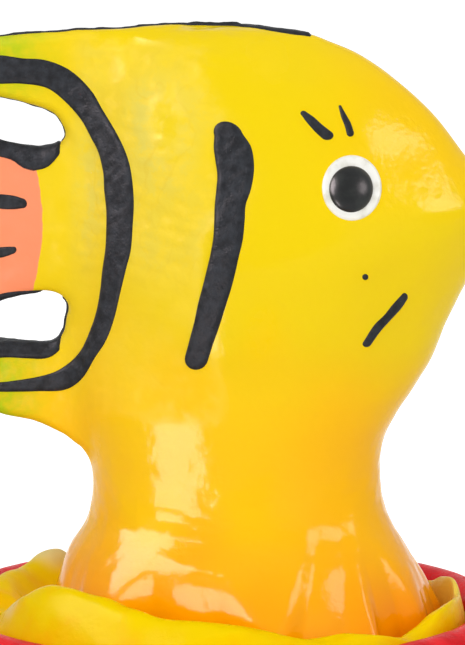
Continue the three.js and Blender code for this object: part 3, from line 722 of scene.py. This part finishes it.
def skin_masks(points):
    """Where each colour, painted shade, painted sheen, dullness and fine crease of the skin lies."""
    x, y, z = columns(points)
    shade = UNEVEN(x * 1.3, y, z)
    warm = 1 - smooth(z + 6 * shade + 0.10 * x, 70, 128)
    # Painted shade: the front of the head, high up, turns warmer
    warm = np.maximum(warm, 0.75 * smooth(x, 20, 75) * smooth(z, 150, 178))
    amber = 1 - smooth(z + 5 * shade, 16, 62)
    cheek = smooth(x, -56, -46) * (1 - smooth(z, 214, 223))
    near = cheek * (1 - smooth(x + 9 * shade, -16, 12)) * smooth(z, 126, 150)
    fins = np.maximum(smooth(-x, 50, 80) * smooth(z, 192, 208), smooth(-x, 56, 82) * (1 - smooth(z, 104, 112)))
    angle = np.degrees(np.arctan2(y / FOOT_SIDE, (x - FOOT_MIDDLE) / FOOT_HALF))
    # Painted shade: deep orange in the foot's scoops, by how deep they are, and low on the right of the neck
    deep = np.minimum(scooped(angle, z) / 7, 1)
    deep = np.maximum(deep, 0.4 * smooth(x, 0, 50) * (1 - smooth(z, 62, 120)))
    dull = cheek * (1 - smooth(x + 9 * shade, -14, 14)) * smooth(z, 80, 92)
    dull = np.maximum(dull, smooth(-x, 38, 50) * smooth(z, 58, 74))
    strip = smooth(x, -48, -36) * (1 - smooth(x, -6, 4)) * smooth(z, 20, 34) * (1 - smooth(z, 96, 112))
    coral = smooth(-x - 4 * ((z - TAIL_MIDDLE) / 26) ** 2, 60.5, 66.5)
    # The painted sheen on the cheek: a pale patch standing in for a soft reflection
    cheek_sheen = near * (1 - 0.6 * smooth(z, 196, 212)) * (0.5 + 0.3 * shade)
    crinkle = np.maximum(0.9 * near, 0.7 * strip)
    return {
        "warm": warm, "amber": amber, "cheek_sheen": cheek_sheen, "green": fins, "deep": deep, "coral": coral, "dull": dull,
        # painted shade: darker orange low on the right of the foot
        "crinkle": crinkle, "low_right_shade": 0.7 * smooth(x, 34, 62) * (1 - smooth(z, 12, 36)),
    }


# Fish, neck and tail


def parts_by_height():
    """The skin above the neck, cut into the fish with its lobes and the tail."""
    low = (-TAIL_REACH - 4, -46, NECK_TOP - 3)
    high = (SNOUT_REACH + 5, 46, TOTAL_HEIGHT + 5)
    points, faces = surface_net(low, high, SKIN_STEP)
    points = settle(points)
    upper, _ = clip(points, faces, (0, 0, 1), NECK_TOP)
    front, rear = clip(*upper, (1, 0, 0), -TAIL_CUT)
    co, polygons = rear
    middle = np.array([co[face].mean(0) for face in polygons])
    is_tail = np.abs(middle[:, 2] - TAIL_MIDDLE) < tail_reach_at(middle[:, 0])
    fish_faces = [f for f, t in zip(polygons, is_tail) if not t]
    tail_faces = [f for f, t in zip(polygons, is_tail) if t]
    shift = len(front[0])
    fish = (np.concatenate([front[0], co]), front[1] + [[k + shift for k in f] for f in fish_faces])
    return trimmed(*fish), trimmed(co, tail_faces)


def tail_reach_at(x):
    """Half the height over which the skin behind the cut belongs to the tail."""
    place = np.clip((-x - TAIL_START) / TAIL_LENGTH, 0, 1)
    return np.interp(place, _places, _tail_half) + 3


def trimmed(points, faces):
    used = np.unique(np.concatenate([np.asarray(f) for f in faces]))
    label = np.full(len(points), -1)
    label[used] = np.arange(len(used))
    return points[used], [[int(label[k]) for k in f] for f in faces]


def ring(z, offset, around):
    """The body's wall at a height, without its dents."""
    rear, front, thick, pinch = (np.interp(z, HEIGHTS, row) for row in SECTIONS)
    angle = all_round(around)
    out = offset + (pleat(angle, z) if z < 64 else 0)
    c = np.cos(angle)
    x = (rear + front) / 2 + np.maximum((front - rear) / 2 + out, 1) * c
    y = np.maximum(thick + out, 0.5) * np.sin(angle) * (1 - pinch * c * c)
    return np.stack([x, y, np.full(around, float(z))], 1)


def fish_piece(points, faces):
    points = points.copy()
    edge = np.abs(points[:, 2] - NECK_TOP) < 1e-3
    points[edge] = settle(points[edge], level=True)
    normals = facing(points)
    heights = np.concatenate([np.arange(NECK_TOP, 214, 4.0), np.arange(214, 222.4, 1.2)])
    rows = [ring(z, -SKIN_WALL, INSIDE_AROUND) for z in heights]
    inside = np.concatenate(rows)
    wall = grid_faces(len(rows), INSIDE_AROUND, closed=True, flip=True) + len(points)
    last = len(points) + (len(rows) - 1) * INSIDE_AROUND
    lid = [[last + k for k in range(INSIDE_AROUND)][::-1]]
    middle = np.array([[5.0, 0, 150.0]])
    inner_normals = unit(middle - inside)
    every = np.concatenate([points, inside])
    piece = make(
        "fish_skin", every, faces + wall.tolist() + lid, SKIN,
        np.concatenate([normals, inner_normals]), skin_masks(every),
    )
    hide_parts("fish_shell")
    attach(piece, "fish")


def neck_piece():
    heights = np.arange(FOOT_BOTTOM, NECK_TOP, 1.0)
    heights = np.append(heights, NECK_TOP)
    outside = settle(np.concatenate([ring(z, 0, NECK_AROUND) for z in heights]), level=True)
    normals = facing(outside)
    inside = outside - SKIN_WALL * normals
    inside = inside.reshape(len(heights), NECK_AROUND, 3)
    inside[0, :, 2] = FOOT_BOTTOM
    inside[-1, :, 2] = NECK_TOP
    inside = inside.reshape(-1, 3)
    count = len(outside)
    faces = grid_faces(len(heights), NECK_AROUND, closed=True).tolist()
    faces += (grid_faces(len(heights), NECK_AROUND, closed=True, flip=True) + count).tolist()
    for j in range(NECK_AROUND):
        k = (j + 1) % NECK_AROUND
        faces.append([k, j, count + j, count + k])
    every = np.concatenate([outside, inside])
    piece = make(
        "neck_skin", every, faces, SKIN, np.concatenate([normals, -normals]), skin_masks(every)
    )
    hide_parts("neck_foot", "neck_waist")
    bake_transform(piece)


def bend_with_tail(piece):
    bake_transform(piece)


def carry(piece, body):
    """Lets a piece go with a body by hanging it on that body's empty. A piece that goes with the tail only has its
    place baked into its mesh.
    """
    if body == "tail":
        bend_with_tail(piece)
    else:
        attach(piece, body)


def tail_piece(points, faces):
    piece = make("tail_skin", points, faces, TAIL_SKIN, facing(points), skin_masks(points))
    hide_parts("tail_root", "tail_fin")
    bend_with_tail(piece)


# Paint

# Strokes on the side of the fish as rows across them, in pixels of the photograph: one edge, then the other.
REAR_BAND = [
    (-52, 81, -52, 62), (-28, 83, -28, 57), (0, 84, 0, 55), (22, 84, 22, 58), (46, 88, 46, 60), (63, 100, 70, 70),
    (81, 120, 91, 90), (92, 140, 103, 110), (98, 152, 115, 130), (103, 172, 125, 150), (104, 190, 131, 170),
    (106, 210, 134, 200), (106, 230, 133, 225), (105, 250, 131, 250), (102, 270, 126, 270), (100, 290, 120, 295),
    (96, 312, 114, 320), (90, 330, 106, 341), (82, 348, 95, 358), (71, 361, 82, 379), (56, 371, 65, 390),
    (38, 376.5, 38, 391.5), (17, 380, 17, 392), (0, 382, 0, 392), (-20, 382, -20, 391), (-36, 380, -36, 387),
]
CHEEK_STRIPE = [
    (214, 136, 243, 134), (213.5, 148, 251, 146), (215, 160, 254, 160), (217, 175, 254, 174), (216, 190, 251, 190),
    (214.5, 205, 246, 205), (214, 220, 245, 220), (213, 238, 243, 240), (210, 255, 239, 257), (206, 272, 235, 275),
    (202, 288, 231, 290), (198, 303, 226, 306), (194, 322, 220, 325), (189, 341, 213, 345), (185, 356, 208, 361),
]
BROW_REAR = [(301, 115, 306, 111.5), (307, 123, 314, 117), (315, 132, 323, 125), (322, 138.5, 332, 132)]
BROW_FRONT = [(338.5, 107, 341.5, 106), (341, 117, 346.5, 115), (344.5, 126, 351, 123), (346.5, 134, 354, 132)]
MOUTH = [
    (402, 294, 407, 300), (392, 305, 401, 309), (384, 315, 390, 321), (374, 325, 381, 331), (363, 342, 371, 345),
]
UPPER_RAY = [
    (-48, 199, -48, 204), (-20, 194.5, -20, 205), (0, 194, 0, 209), (14, 195.5, 14, 209.5), (22, 198, 22, 208.5),
]
LOWER_RAY = [
    (-50, 251, -50, 255), (-20, 248, -20, 258), (0, 247, 0, 258), (8, 246.5, 8, 256), (13, 246.5, 13, 254),
]


def fine_rows(rows, step):
    """More rows on smooth curves through the given ones, about a step apart."""
    rows = np.asarray(rows, float)
    middles = (rows[:, :2] + rows[:, 2:]) / 2
    places = np.concatenate([[0], np.cumsum(np.linalg.norm(np.diff(middles, axis=0), axis=1))])
    count = max(int(places[-1] / step), 4)
    return along(np.column_stack([places, rows]), np.linspace(0, places[-1], count))


def with_ends(rows):
    """Adds round ends. Each row gets the radius of its end and how far round that end it lies, as an angle."""
    middles = (rows[:, :2] + rows[:, 2:]) / 2
    halves = (rows[:, 2:] - rows[:, :2]) / 2
    radii = np.linalg.norm(halves, axis=1)
    turns = np.radians([84, 72, 58, 44, 30, 16])
    s, c = np.sin(turns)[:, None], np.cos(turns)[:, None]
    caps = []
    for i, k in ((0, 1), (-1, -2)):
        away = middles[i] - middles[k]
        tips = middles[i] + away / np.linalg.norm(away) * radii[i] * s
        caps.append(np.hstack([tips - halves[i] * c, tips + halves[i] * c]))
    return (
        np.concatenate([caps[0], rows, caps[1][::-1]]),
        np.concatenate([turns, np.zeros(len(rows)), turns[::-1]]),
        np.concatenate([np.full(len(turns), radii[0]), radii, np.full(len(turns), radii[-1])]),
    )


LUMPS = Waves(21, 5.0)
PIXEL = 0.36  # millimetres of a pixel at the fish
PAINT_ROOT = 0.35  # how deep the edge of thick paint lies under the skin


def bead_height(inset, thickness, shoulder):
    """The height of thick paint at a distance from its edge."""
    share = np.clip(inset / shoulder, 0, 1)
    return (thickness + PAINT_ROOT) * np.sqrt(np.maximum(1 - (1 - share) ** 2, 0)) - PAINT_ROOT


def stroke_points(rows, side, thickness, shoulder):
    rows, turns, radii = with_ends(fine_rows(rows, PAINT_STEP))
    across = np.sin(np.linspace(-1, 1, 17) * math.pi / 2)
    share = (across + 1) / 2
    pixels = rows[:, None, :2] * (1 - share[None, :, None]) + rows[:, None, 2:] * share[None, :, None]
    points = on_side(pixels.reshape(-1, 2), side)
    c, s = np.cos(turns)[:, None], np.sin(turns)[:, None]
    inset = radii[:, None] * (1 - np.sqrt(np.minimum(across[None, :] ** 2 * c**2 + s**2, 1))) * PIXEL
    height = bead_height(inset.ravel(), thickness, shoulder)
    height += 0.10 * LUMPS(*columns(points)) * np.clip(inset.ravel() / shoulder, 0, 1)
    points = points + facing(points) * height[:, None]
    return points, grid_faces(len(rows), len(across), flip=side < 0)


def stroke_pieces(node, rows, thickness=0.9, shoulder=1.5, body="fish"):
    for side, end in ((-1, "_right"), (1, "_left")):
        points, faces = stroke_points(rows, side, thickness, shoulder)
        piece = make(node + end + "_paint", points, faces, PAINT)
        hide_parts(node + end)
        carry(piece, body)


def blob_points(middle, half, side, height):
    """A round patch on the side of the fish. height is a function of the share of the way out."""
    radii = np.sin(np.linspace(0.02, 1, 15) * math.pi / 2)
    turns = all_round(56)
    r, t = np.meshgrid(radii, turns, indexing="ij")
    pixels = np.stack([middle[0] + half[0] * r * np.cos(t), middle[1] + half[1] * r * np.sin(t)], -1).reshape(-1, 2)
    points = on_side(pixels, side)
    points = points + facing(points) * height(r.ravel())[:, None]
    faces = grid_faces(len(radii), len(turns), closed=True, flip=side > 0).tolist()
    faces.append(list(range(len(turns)))[:: (1 if side > 0 else -1)])
    return points, faces


def blob_pieces(node, middle, half, height, material):
    for side, end in ((-1, "_right"), (1, "_left")):
        points, faces = blob_points(middle, half, side, height)
        piece = make(node + end + "_bead", points, faces, material)
        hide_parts(node + end)
        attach(piece, "fish")


def over_edge(bases, reaches, turn_radius=3.0):
    """Lines that meet the skin under thick paint over an edge of the fish, from the edge down one side, and how far
    each lies from the paint's border. bases are places on the edge in the middle plane, and reaches say how far
    the paint comes down."""
    normals = facing(bases)
    normals[:, 1] = 0
    normals = unit(normals)
    centres = bases - normals * turn_radius
    turns = np.radians(np.linspace(0, 90, 8)) * np.minimum(1, reaches / turn_radius)[:, None]
    ways = normals[:, None] * np.cos(turns)[..., None] + np.array([0, -1.0, 0]) * np.sin(turns)[..., None]
    origins = centres[:, None] + ways * (turn_radius + 3)
    wide = (reaches > turn_radius)[:, None]
    down = np.maximum(reaches - turn_radius, 0)[:, None] * np.linspace(0, 1, 6)[1:]
    flat = centres[:, None] - normals[:, None] * down[..., None] - (0, BODY_HALF_THICKNESS * 1.3, 0)
    lengths = turn_radius * turns
    beyond = np.where(wide, turn_radius * math.pi / 2 + down, lengths[:, -1:])
    lengths = np.hstack([lengths, beyond])
    origins = np.hstack([origins, np.where(wide[..., None], flat, origins[:, -1:])])
    directions = np.hstack([-ways, np.where(wide[..., None], (0.0, 1.0, 0.0), -ways[:, -1:] + 0 * flat)])
    return origins, directions, lengths.max(1)[:, None] - lengths


def edge_piece(name, bases, reaches, nodes, thickness=0.9, shoulder=1.4, body="fish"):
    origins, directions, insets = over_edge(bases, reaches)
    rows, across = insets.shape
    near = strike(origins.reshape(-1, 3), directions.reshape(-1, 3)).reshape(rows, across, 3)
    flip = np.array([1, -1, 1.0])
    far = strike((origins * flip).reshape(-1, 3), (directions * flip).reshape(-1, 3)).reshape(rows, across, 3)
    points = np.concatenate([far[:, :0:-1], near], 1)
    inset = np.concatenate([insets[:, :0:-1], insets], 1)
    steps = np.linalg.norm(np.diff(np.asarray(bases), axis=0), axis=1)
    run = np.concatenate([[0], np.cumsum(steps)])
    ends = np.minimum(run, run[-1] - run)
    inset = np.minimum(inset, ends[:, None])
    count = points.shape[1]
    points = points.reshape(-1, 3)
    height = bead_height(inset.ravel(), thickness, shoulder)
    height += 0.08 * LUMPS(*columns(points)) * np.clip(inset.ravel() / shoulder, 0, 1)
    points = points + facing(points) * height[:, None]
    faces = grid_faces(rows, count)
    a, b, c = points[faces[len(faces) // 2][:3]]
    if np.cross(b - a, c - a) @ facing(a[None])[0] < 0:
        faces = faces[:, ::-1]
    piece = make(name, points, faces, PAINT)
    if nodes:
        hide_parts(*nodes)
    carry(piece, body)


# The middle of each notch's round end, and how fast the notch rises towards the tail's end.
UPPER_NOTCH = (-67.0, 188.5, 0.22)
LOWER_NOTCH = (-67.0, 118.5, -0.2)


def toward_edge(xs, notch, way):
    """Places on the edge in the middle plane, seen up or down from the middle line of a notch."""
    origins = np.stack([xs, np.zeros(len(xs)), notch[1] + notch[2] * (notch[0] - xs)], 1)
    return strike(origins, np.tile((0.0, 0.0, float(way)), (len(xs), 1)))


def from_inside(middle, degrees):
    """Places on the edge of a notch, seen from a place in it."""
    angles = np.radians(degrees)
    directions = np.stack([np.cos(angles), np.zeros(len(angles)), np.sin(angles)], 1)
    origins = np.tile((middle[0], 0.0, middle[1]), (len(angles), 1))
    return strike(origins, directions)


def white_height(r):
    return bead_height((1 - r) * 11, 0.9, 1.3)


def pupil_height(r):
    return 0.6 + 3.6 * np.sqrt(np.maximum(1 - r**2, 0))


def dot_height(r):
    return bead_height((1 - r) * 1.2, 0.5, 0.9)


def make_paint():
    stroke_pieces("rear_band", REAR_BAND, 1.0, 2.0)
    stroke_pieces("cheek_stripe", CHEEK_STRIPE, 1.0, 2.0)
    stroke_pieces("brow_rear", BROW_REAR, 0.7, 1.2)
    stroke_pieces("brow_front", BROW_FRONT, 0.7, 1.0)
    stroke_pieces("mouth_line", MOUTH, 0.7, 1.2)
    stroke_pieces("tail_ray_1", UPPER_RAY, 0.8, 1.4, "tail")
    stroke_pieces("tail_ray_2", LOWER_RAY, 0.8, 1.2, "tail")
    blob_pieces("eye_white", (351.8, 187.9), (30, 33), white_height, EYE_WHITE)
    blob_pieces("pupil", (350.4, 189.8), (21.8, 23.2), pupil_height, PUPIL)
    blob_pieces("nostril_dot", (365.3, 277), (3.3, 3.3), dot_height, PAINT)

    xs = np.linspace(-99, 33, 84)
    bases = toward_edge(xs, (0, TOTAL_HEIGHT + 8, 0), -1)
    reach = along([[-99, 1.0], [-60, 1.1], [-20, 1.0], [5, 1.4], [16, 2.0], [25, 2.2], [33, 1.6]], xs)[:, 0]
    edge_piece("ridge_paint", bases, reach, ["ridge_line"], 0.6)

    xs = np.linspace(-138, -66, 46)
    turns = np.linspace(-82, -32, 18)
    round_end = from_inside(UPPER_NOTCH, turns)
    reach = along([
        [-138, 4.5], [-110, 5.2], [-82, 5.4], [-77, 5.0], [-73, 5.4], [-69.5, 7.4], [-66, 8.0],
    ], xs)[:, 0]
    reach = np.concatenate([reach, along([[-82, 8.0], [-62, 6.6], [-46, 4.0], [-32, 1.2]], turns)[:, 0]])
    nodes = ["tail_edge_upper_right", "tail_edge_upper_left"]
    bases = np.concatenate([toward_edge(xs, UPPER_NOTCH, -1), round_end])
    edge_piece("tail_edge_upper_paint", bases, reach, nodes, 0.9, body="tail")
    bases = toward_edge(np.linspace(-138, -63, 44), LOWER_NOTCH, 1)
    reach = along([[-138, 3.0], [-82, 2.6], [-70, 1.8], [-63, 1.0]], bases[:, 0])[:, 0]
    nodes = ["tail_edge_lower_right", "tail_edge_lower_left"]
    edge_piece("tail_edge_lower_paint", bases, reach, nodes, 0.7, body="tail")

    xs = np.linspace(-96, -66.5, 24)
    turns = np.linspace(-82, 40, 26)
    bases = np.concatenate([toward_edge(xs, LOWER_NOTCH, -1), from_inside(LOWER_NOTCH, turns)])
    thinning = along([[-82, 5.2], [-64, 4.8], [-50, 3.4], [-38, 1.9], [-25, 0.9], [40, 0.7]], turns)[:, 0]
    nodes = ["lobe_edge_right", "lobe_edge_left"]
    edge_piece("lobe_edge_paint", bases, np.concatenate([np.full(len(xs), 5.2), thinning]), nodes, 0.8)
    round_end = from_inside(UPPER_NOTCH, np.linspace(-34, 84, 28))
    bases = np.concatenate([round_end, toward_edge(np.linspace(-67, -98, 24), UPPER_NOTCH, 1)])
    edge_piece("notch_line_paint", bases, np.full(len(bases), 0.8), [], 0.4)


# Crown and rim

# Crest of the crown's folds: angle round the rim in degrees, distance from its middle, height.
CREST = [
    (-180, 84, 19), (-175, 83.5, 15.5), (-170, 82, 14), (-163, 79, 16.5), (-155, 77, 20.5), (-148, 76, 27),
    (-142, 76, 30.5), (-137, 76, 31.5), (-131, 76, 31), (-122, 76, 29.5), (-115, 76, 27), (-107, 76, 25),
    (-98, 76, 24), (-90, 76, 22.5), (-80, 76, 20), (-70, 76, 17), (-61, 77, 15), (-54, 78, 15.5), (-47, 80, 14.5),
    (-40, 82, 13), (-33, 83, 14.8), (-24, 84, 18.2), (-12, 85, 18), (-5, 85, 17.5), (0, 85, 17.5), (4, 85, 20),
    (10, 84.5, 20), (15, 84.5, 18.3), (20, 84, 16), (26, 83, 13.5), (34, 81, 10.5), (46, 80, 12), (60, 77, 15),
    (80, 76, 18), (100, 75, 14), (120, 75, 19), (136, 76, 20), (142, 76, 24.5), (146, 76, 25), (149, 76.3, 24.3),
    (152, 77, 22), (157, 79, 20.5), (165, 82, 20), (172, 84, 20), (180, 84, 19),
]
# Smaller folds across the crown: angle, half width in degrees, place between foot (0), crest (1) and rim (2), how
# far that place moves over the half width, height, and width on the same scale.
CREASES_ACROSS = [
    (-162, 14, 1.5, 0.3, -3.0, 0.2), (-150, 12, 1.35, 0.3, 1.6, 0.12), (-118, 16, 1.55, 0.25, -2.0, 0.2),
    (-92, 14, 1.5, -0.3, 1.6, 0.2), (-66, 12, 0.6, 0.3, 2.0, 0.2), (-44, 12, 1.5, 0.35, 2.0, 0.2),
    (-12, 19, 1.42, 0.0, 4.5, 0.28), (44, 16, 0.6, 0.3, 4.0, 0.22),
    (70, 15, 1.5, 0.35, 3.5, 0.22), (98, 16, 0.7, -0.3, 4.0, 0.2), (128, 16, 1.5, 0.3, 3.5, 0.2),
    (176, 14, 0.6, -0.3, 2.0, 0.2),
]
FOLDS = Waves(31, 38)
WRINKLES = Waves(33, 15, stretch=(1, 1, 2))


def crown_rows():
    """The crown as rows of points from under the foot over the crest into the rim."""
    angle = all_round(CROWN_AROUND)
    degrees = (np.degrees(angle) + 180) % 360 - 180
    crest = along(CREST, degrees)
    foot = ring(FOOT_BOTTOM, 0, 720)
    foot_angle = np.arctan2(foot[:, 1], foot[:, 0])
    order = np.argsort(foot_angle)
    foot_radius = np.interp(
        (angle + math.pi) % (2 * math.pi) - math.pi, foot_angle[order], np.hypot(foot[:, 0], foot[:, 1])[order],
        period=2 * math.pi,
    )
    top_radius, top = np.maximum(crest[:, 0], foot_radius + 2.5), crest[:, 1]
    rim = RIM_RADIUS - ROLL_RADIUS
    rows = []
    shares = np.concatenate([np.linspace(0, 1, 24), 1 + np.linspace(0, 1, 26)[1:]])
    for s in shares:
        if s <= 1:
            radius = mix(foot_radius + 0.4, top_radius, s)
            lift = mix(5.0, top, np.sin(s * math.pi / 2) ** 1.5)
        else:
            t = s - 1
            radius = mix(top_radius, rim - 0.3, t**0.85)
            lift = mix(top, RIM_HEIGHT, (1 - np.cos(t * math.pi / 2)) ** 0.9)
        for place, width, at, run, height, spread in CREASES_ACROSS:
            away = (degrees - place + 180) % 360 - 180
            across = (s - at - run * away / width) / spread
            fold = np.exp(-(across**2)) * (1 - smooth(np.abs(away), 0, width * 1.4))
            lift = lift + height * fold * math.sin(s * math.pi / 2)
        rows.append(np.stack([radius * np.cos(angle), radius * np.sin(angle), lift], 1))
    ends = []
    for radius, height in ((foot_radius - 3, CROWN_LOWEST), (rim + 1.8, RIM_HEIGHT)):
        ends.append(np.stack([radius * np.cos(angle), radius * np.sin(angle), np.full(len(angle), height)], 1))
    grid = np.stack([ends[0], *rows, ends[1]])
    free = np.concatenate([[0], np.sin(shares / 2 * math.pi) * (0.35 + 0.65 * np.abs(shares - 1)), [0]])[:, None]
    x, y, z = grid[..., 0], grid[..., 1], grid[..., 2]
    swell = 0.9 * FOLDS(x, y, z) + 0.45 * WRINKLES(x, y, z)
    grid[..., 2] = np.maximum(z + free * swell, CROWN_LOWEST)
    return grid


def grid_normals(grid):
    """Normals of a grid that closes on itself along its second axis."""
    along_rows = np.gradient(grid, axis=0)
    around = (np.roll(grid, -1, 1) - np.roll(grid, 1, 1)) / 2
    normals = np.cross(along_rows, around)
    return normals / np.maximum(np.linalg.norm(normals, axis=2), 1e-9)[..., None]


def crown_pieces():
    upper = crown_rows()
    normals = grid_normals(upper)
    normals = np.where(normals[..., 2:].mean() < 0, -normals, normals)
    lower = upper - CROWN_WALL * normals
    height = upper[..., 2]
    angle = np.degrees(np.arctan2(upper[..., 1], upper[..., 0]))
    # Paler thin rubber on some crests, with painted backlight through thin folds and a painted highlight on the right
    # crest
    thin_and_lit = smooth(height, 17, 24) * (1 - smooth(np.abs(angle - 144), 5, 11)) * 0.9
    thin_and_lit = np.maximum(thin_and_lit, 0.6 * smooth(height, 15, 19) * (1 - smooth(np.abs(angle + 157), 2, 9)))
    thin_and_lit = np.maximum(thin_and_lit, 0.3 * smooth(height, 8, 14) * (1 - smooth(np.abs(angle - 2), 9, 24)))
    # Painted shade: darker where the crown lies low
    deep = 0.3 * (1 - smooth(height, 3, 10))
    per = CROWN_AROUND // CROWN_SECTORS
    for sector in range(CROWN_SECTORS):
        first = sector * per - per // 2
        index = np.arange(first, first + per + 1) % CROWN_AROUND
        rows, count = upper.shape[0], len(index)
        top, below = upper[:, index].reshape(-1, 3), lower[:, index].reshape(-1, 3)
        up = normals[:, index].reshape(-1, 3)
        faces = grid_faces(rows, count)
        a, b, c = top[faces[len(faces) // 3][:3]]
        if np.cross(b - a, c - a) @ up[faces[len(faces) // 3][0]] < 0:
            faces = faces[:, ::-1]
        masks = {"deep": np.tile(deep[:, index].ravel(), 2), "thin_and_lit": np.tile(thin_and_lit[:, index].ravel(), 2)}
        piece = make(
            f"crown_{sector + 1:02d}", np.concatenate([top, below]),
            faces.tolist() + (faces[:, ::-1] + len(top)).tolist(), CROWN,
            np.concatenate([up, -up]), masks,
        )
        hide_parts("crown_sheet")
        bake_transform(piece)


def rim_piece():
    slit = 1.0
    outer_end = math.pi - math.asin(slit / ROLL_RADIUS)
    inside = ROLL_RADIUS - ROLL_WALL
    inner_end = math.pi - math.asin(slit / inside)
    outer = np.linspace(-outer_end, outer_end, 44)
    inner = np.linspace(inner_end, -inner_end, 24)
    turns = np.concatenate([outer, inner])
    radii = np.concatenate([np.full(len(outer), ROLL_RADIUS), np.full(len(inner), inside)])
    angle = all_round(RIM_AROUND)
    a, t = np.meshgrid(angle, np.arange(len(turns)), indexing="ij")
    radius = RIM_RADIUS + radii[t] * np.cos(turns[t])
    z = RIM_HEIGHT + radii[t] * np.sin(turns[t])
    points = np.stack([radius * np.cos(a), radius * np.sin(a), z], -1)
    wobble = Waves(41, 40)(points[..., 0], points[..., 1], points[..., 2]) * 0.25
    away = np.stack([np.cos(turns[t]) * np.cos(a), np.cos(turns[t]) * np.sin(a), np.sin(turns[t])], -1)
    points = points + away * np.minimum(wobble, 0)[..., None]
    points[..., 2] = np.maximum(points[..., 2], 0)
    faces = grid_faces(len(angle), len(turns), closed=True)
    here = np.arange(len(turns))
    after, back = (here + 1) % len(turns), (len(angle) - 1) * len(turns)
    seam = np.stack([here + back, after + back, after, here], 1).tolist()
    piece = make("rim_rubber", points.reshape(-1, 3), faces.tolist() + seam, RED)
    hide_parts("rim_roll")
    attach(piece, "rim")


# Camera, floor and light

FLOOR_REACH = 9.0  # metres
FLOOR_COLOR = (0.84, 0.84, 0.84)
FLOOR_GLOW = 0.75
WORLD_LIGHT = 0.4
GLOSS_TINT = (1, 0.86, 0.88)


def make_camera():
    data = bpy.data.cameras.new("camera")
    camera = add_object("camera", data)
    data.sensor_fit = "AUTO"
    data.sensor_width = 36
    data.lens = FOCAL_PIXELS / PICTURE_HEIGHT * data.sensor_width
    data.clip_start, data.clip_end = 0.05, 50
    camera.location = (CAMERA_PLACE + (RIM_MIDDLE, 0, 0)) * MM
    camera.rotation_euler = (math.pi / 2 - CAMERA_PITCH, 0, 0)
    bpy.context.scene.camera = camera


def seen_directly(tree):
    """1 for what the camera, mirrors and clear things see, and 0 for the light that falls on surfaces."""
    rays = tree.nodes.new("ShaderNodeLightPath").outputs
    seen = rays["Is Camera Ray"]
    for name in ("Is Glossy Ray", "Is Transmission Ray"):
        node = tree.nodes.new("ShaderNodeMath")
        node.operation = "MAXIMUM"
        tree.links.new(seen, node.inputs[0])
        tree.links.new(rays[name], node.inputs[1])
        seen = node.outputs[0]
    return seen


def make_floor():
    mesh = bpy.data.meshes.new("floor")
    corners = [(FLOOR_REACH * x, FLOOR_REACH * y, 0) for x, y in ((-1, -1), (1, -1), (1, 1), (-1, 1))]
    mesh.from_pydata(corners, [], [(0, 1, 2, 3)])
    floor = add_object("floor", mesh)
    material = bpy.data.materials.new("floor")
    material.use_nodes = True
    tree = material.node_tree
    shader = tree.nodes["Principled BSDF"]
    shader.inputs["Base Color"].default_value = (*FLOOR_COLOR, 1)
    shader.inputs["Roughness"].default_value = 0.9
    shader.inputs["Specular IOR Level"].default_value = 0.0
    seen = seen_directly(tree)
    scaled = tree.nodes.new("ShaderNodeMath")
    scaled.operation = "MULTIPLY"
    scaled.inputs[1].default_value = FLOOR_GLOW
    tree.links.new(seen, scaled.inputs[0])
    shader.inputs["Emission Color"].default_value = (1, 1, 1, 1)
    tree.links.new(scaled.outputs[0], shader.inputs["Emission Strength"])
    mesh.materials.append(material)


def make_world():
    world = bpy.data.worlds.new("world")
    bpy.context.scene.world = world
    world.use_nodes = True
    tree = world.node_tree
    ground = tree.nodes["Background"]
    ground.inputs["Color"].default_value = (1, 1, 1, 1)
    seen = seen_directly(tree)
    strength = tree.nodes.new("ShaderNodeMapRange")
    strength.inputs["To Min"].default_value = WORLD_LIGHT
    strength.inputs["To Max"].default_value = 1.0
    tree.links.new(seen, strength.inputs["Value"])
    tree.links.new(strength.outputs[0], ground.inputs["Strength"])


def make_lamp(name, place, aim, size, power, mirrored=True, lights=True):
    """An area lamp. One that isn't mirrored only lights surfaces; one that doesn't light them only shows as gloss."""
    data = bpy.data.lights.new(name, "AREA")
    data.shape = "RECTANGLE"
    data.size, data.size_y = size
    data.energy = power
    data.color = (1, 1, 1) if lights else GLOSS_TINT
    lamp = add_object(name, data)
    lamp.location = place
    lamp.visible_glossy, lamp.visible_diffuse, lamp.visible_camera = mirrored, lights, False
    way = Vector(aim) - Vector(place)
    lamp.rotation_euler = way.to_track_quat("-Z", "Y").to_euler()


make_camera()
fish, tail = parts_by_height()
fish_piece(*fish)
neck_piece()
tail_piece(*tail)
make_paint()
crown_pieces()
rim_piece()
core = bpy.data.objects["rim_core"]
core.data.materials.clear()
core.data.materials.append(sponge())

make_floor()
make_world()
make_lamp("key", (-0.8, -1.5, 0.75), (0, 0, 0.1), (1.0, 1.0), 12, mirrored=False)
make_lamp("fill", (1.1, -1.3, 0.5), (0, 0, 0.1), (1.0, 1.0), 9.2, mirrored=False)
make_lamp("top", (0.1, 0.1, 1.6), (0, 0, 0.1), (1.4, 1.4), 6, mirrored=False)
make_lamp("sheen_left", (-0.087, -0.19, 0.058), (-0.01, -0.035, 0.058), (0.068, 0.112), 0.47, lights=False)
make_lamp("sheen_far_left", (-0.36, -0.16, 0.42), (-0.02, -0.05, 0.05), (0.4, 0.36), 10, lights=False)
make_lamp("sheen_right", (0.837, -0.312, 0.6), (0.05, -0.03, 0.1), (0.32, 0.36), 4.0, lights=False)
bpy.context.scene.view_settings.view_transform = "Standard"
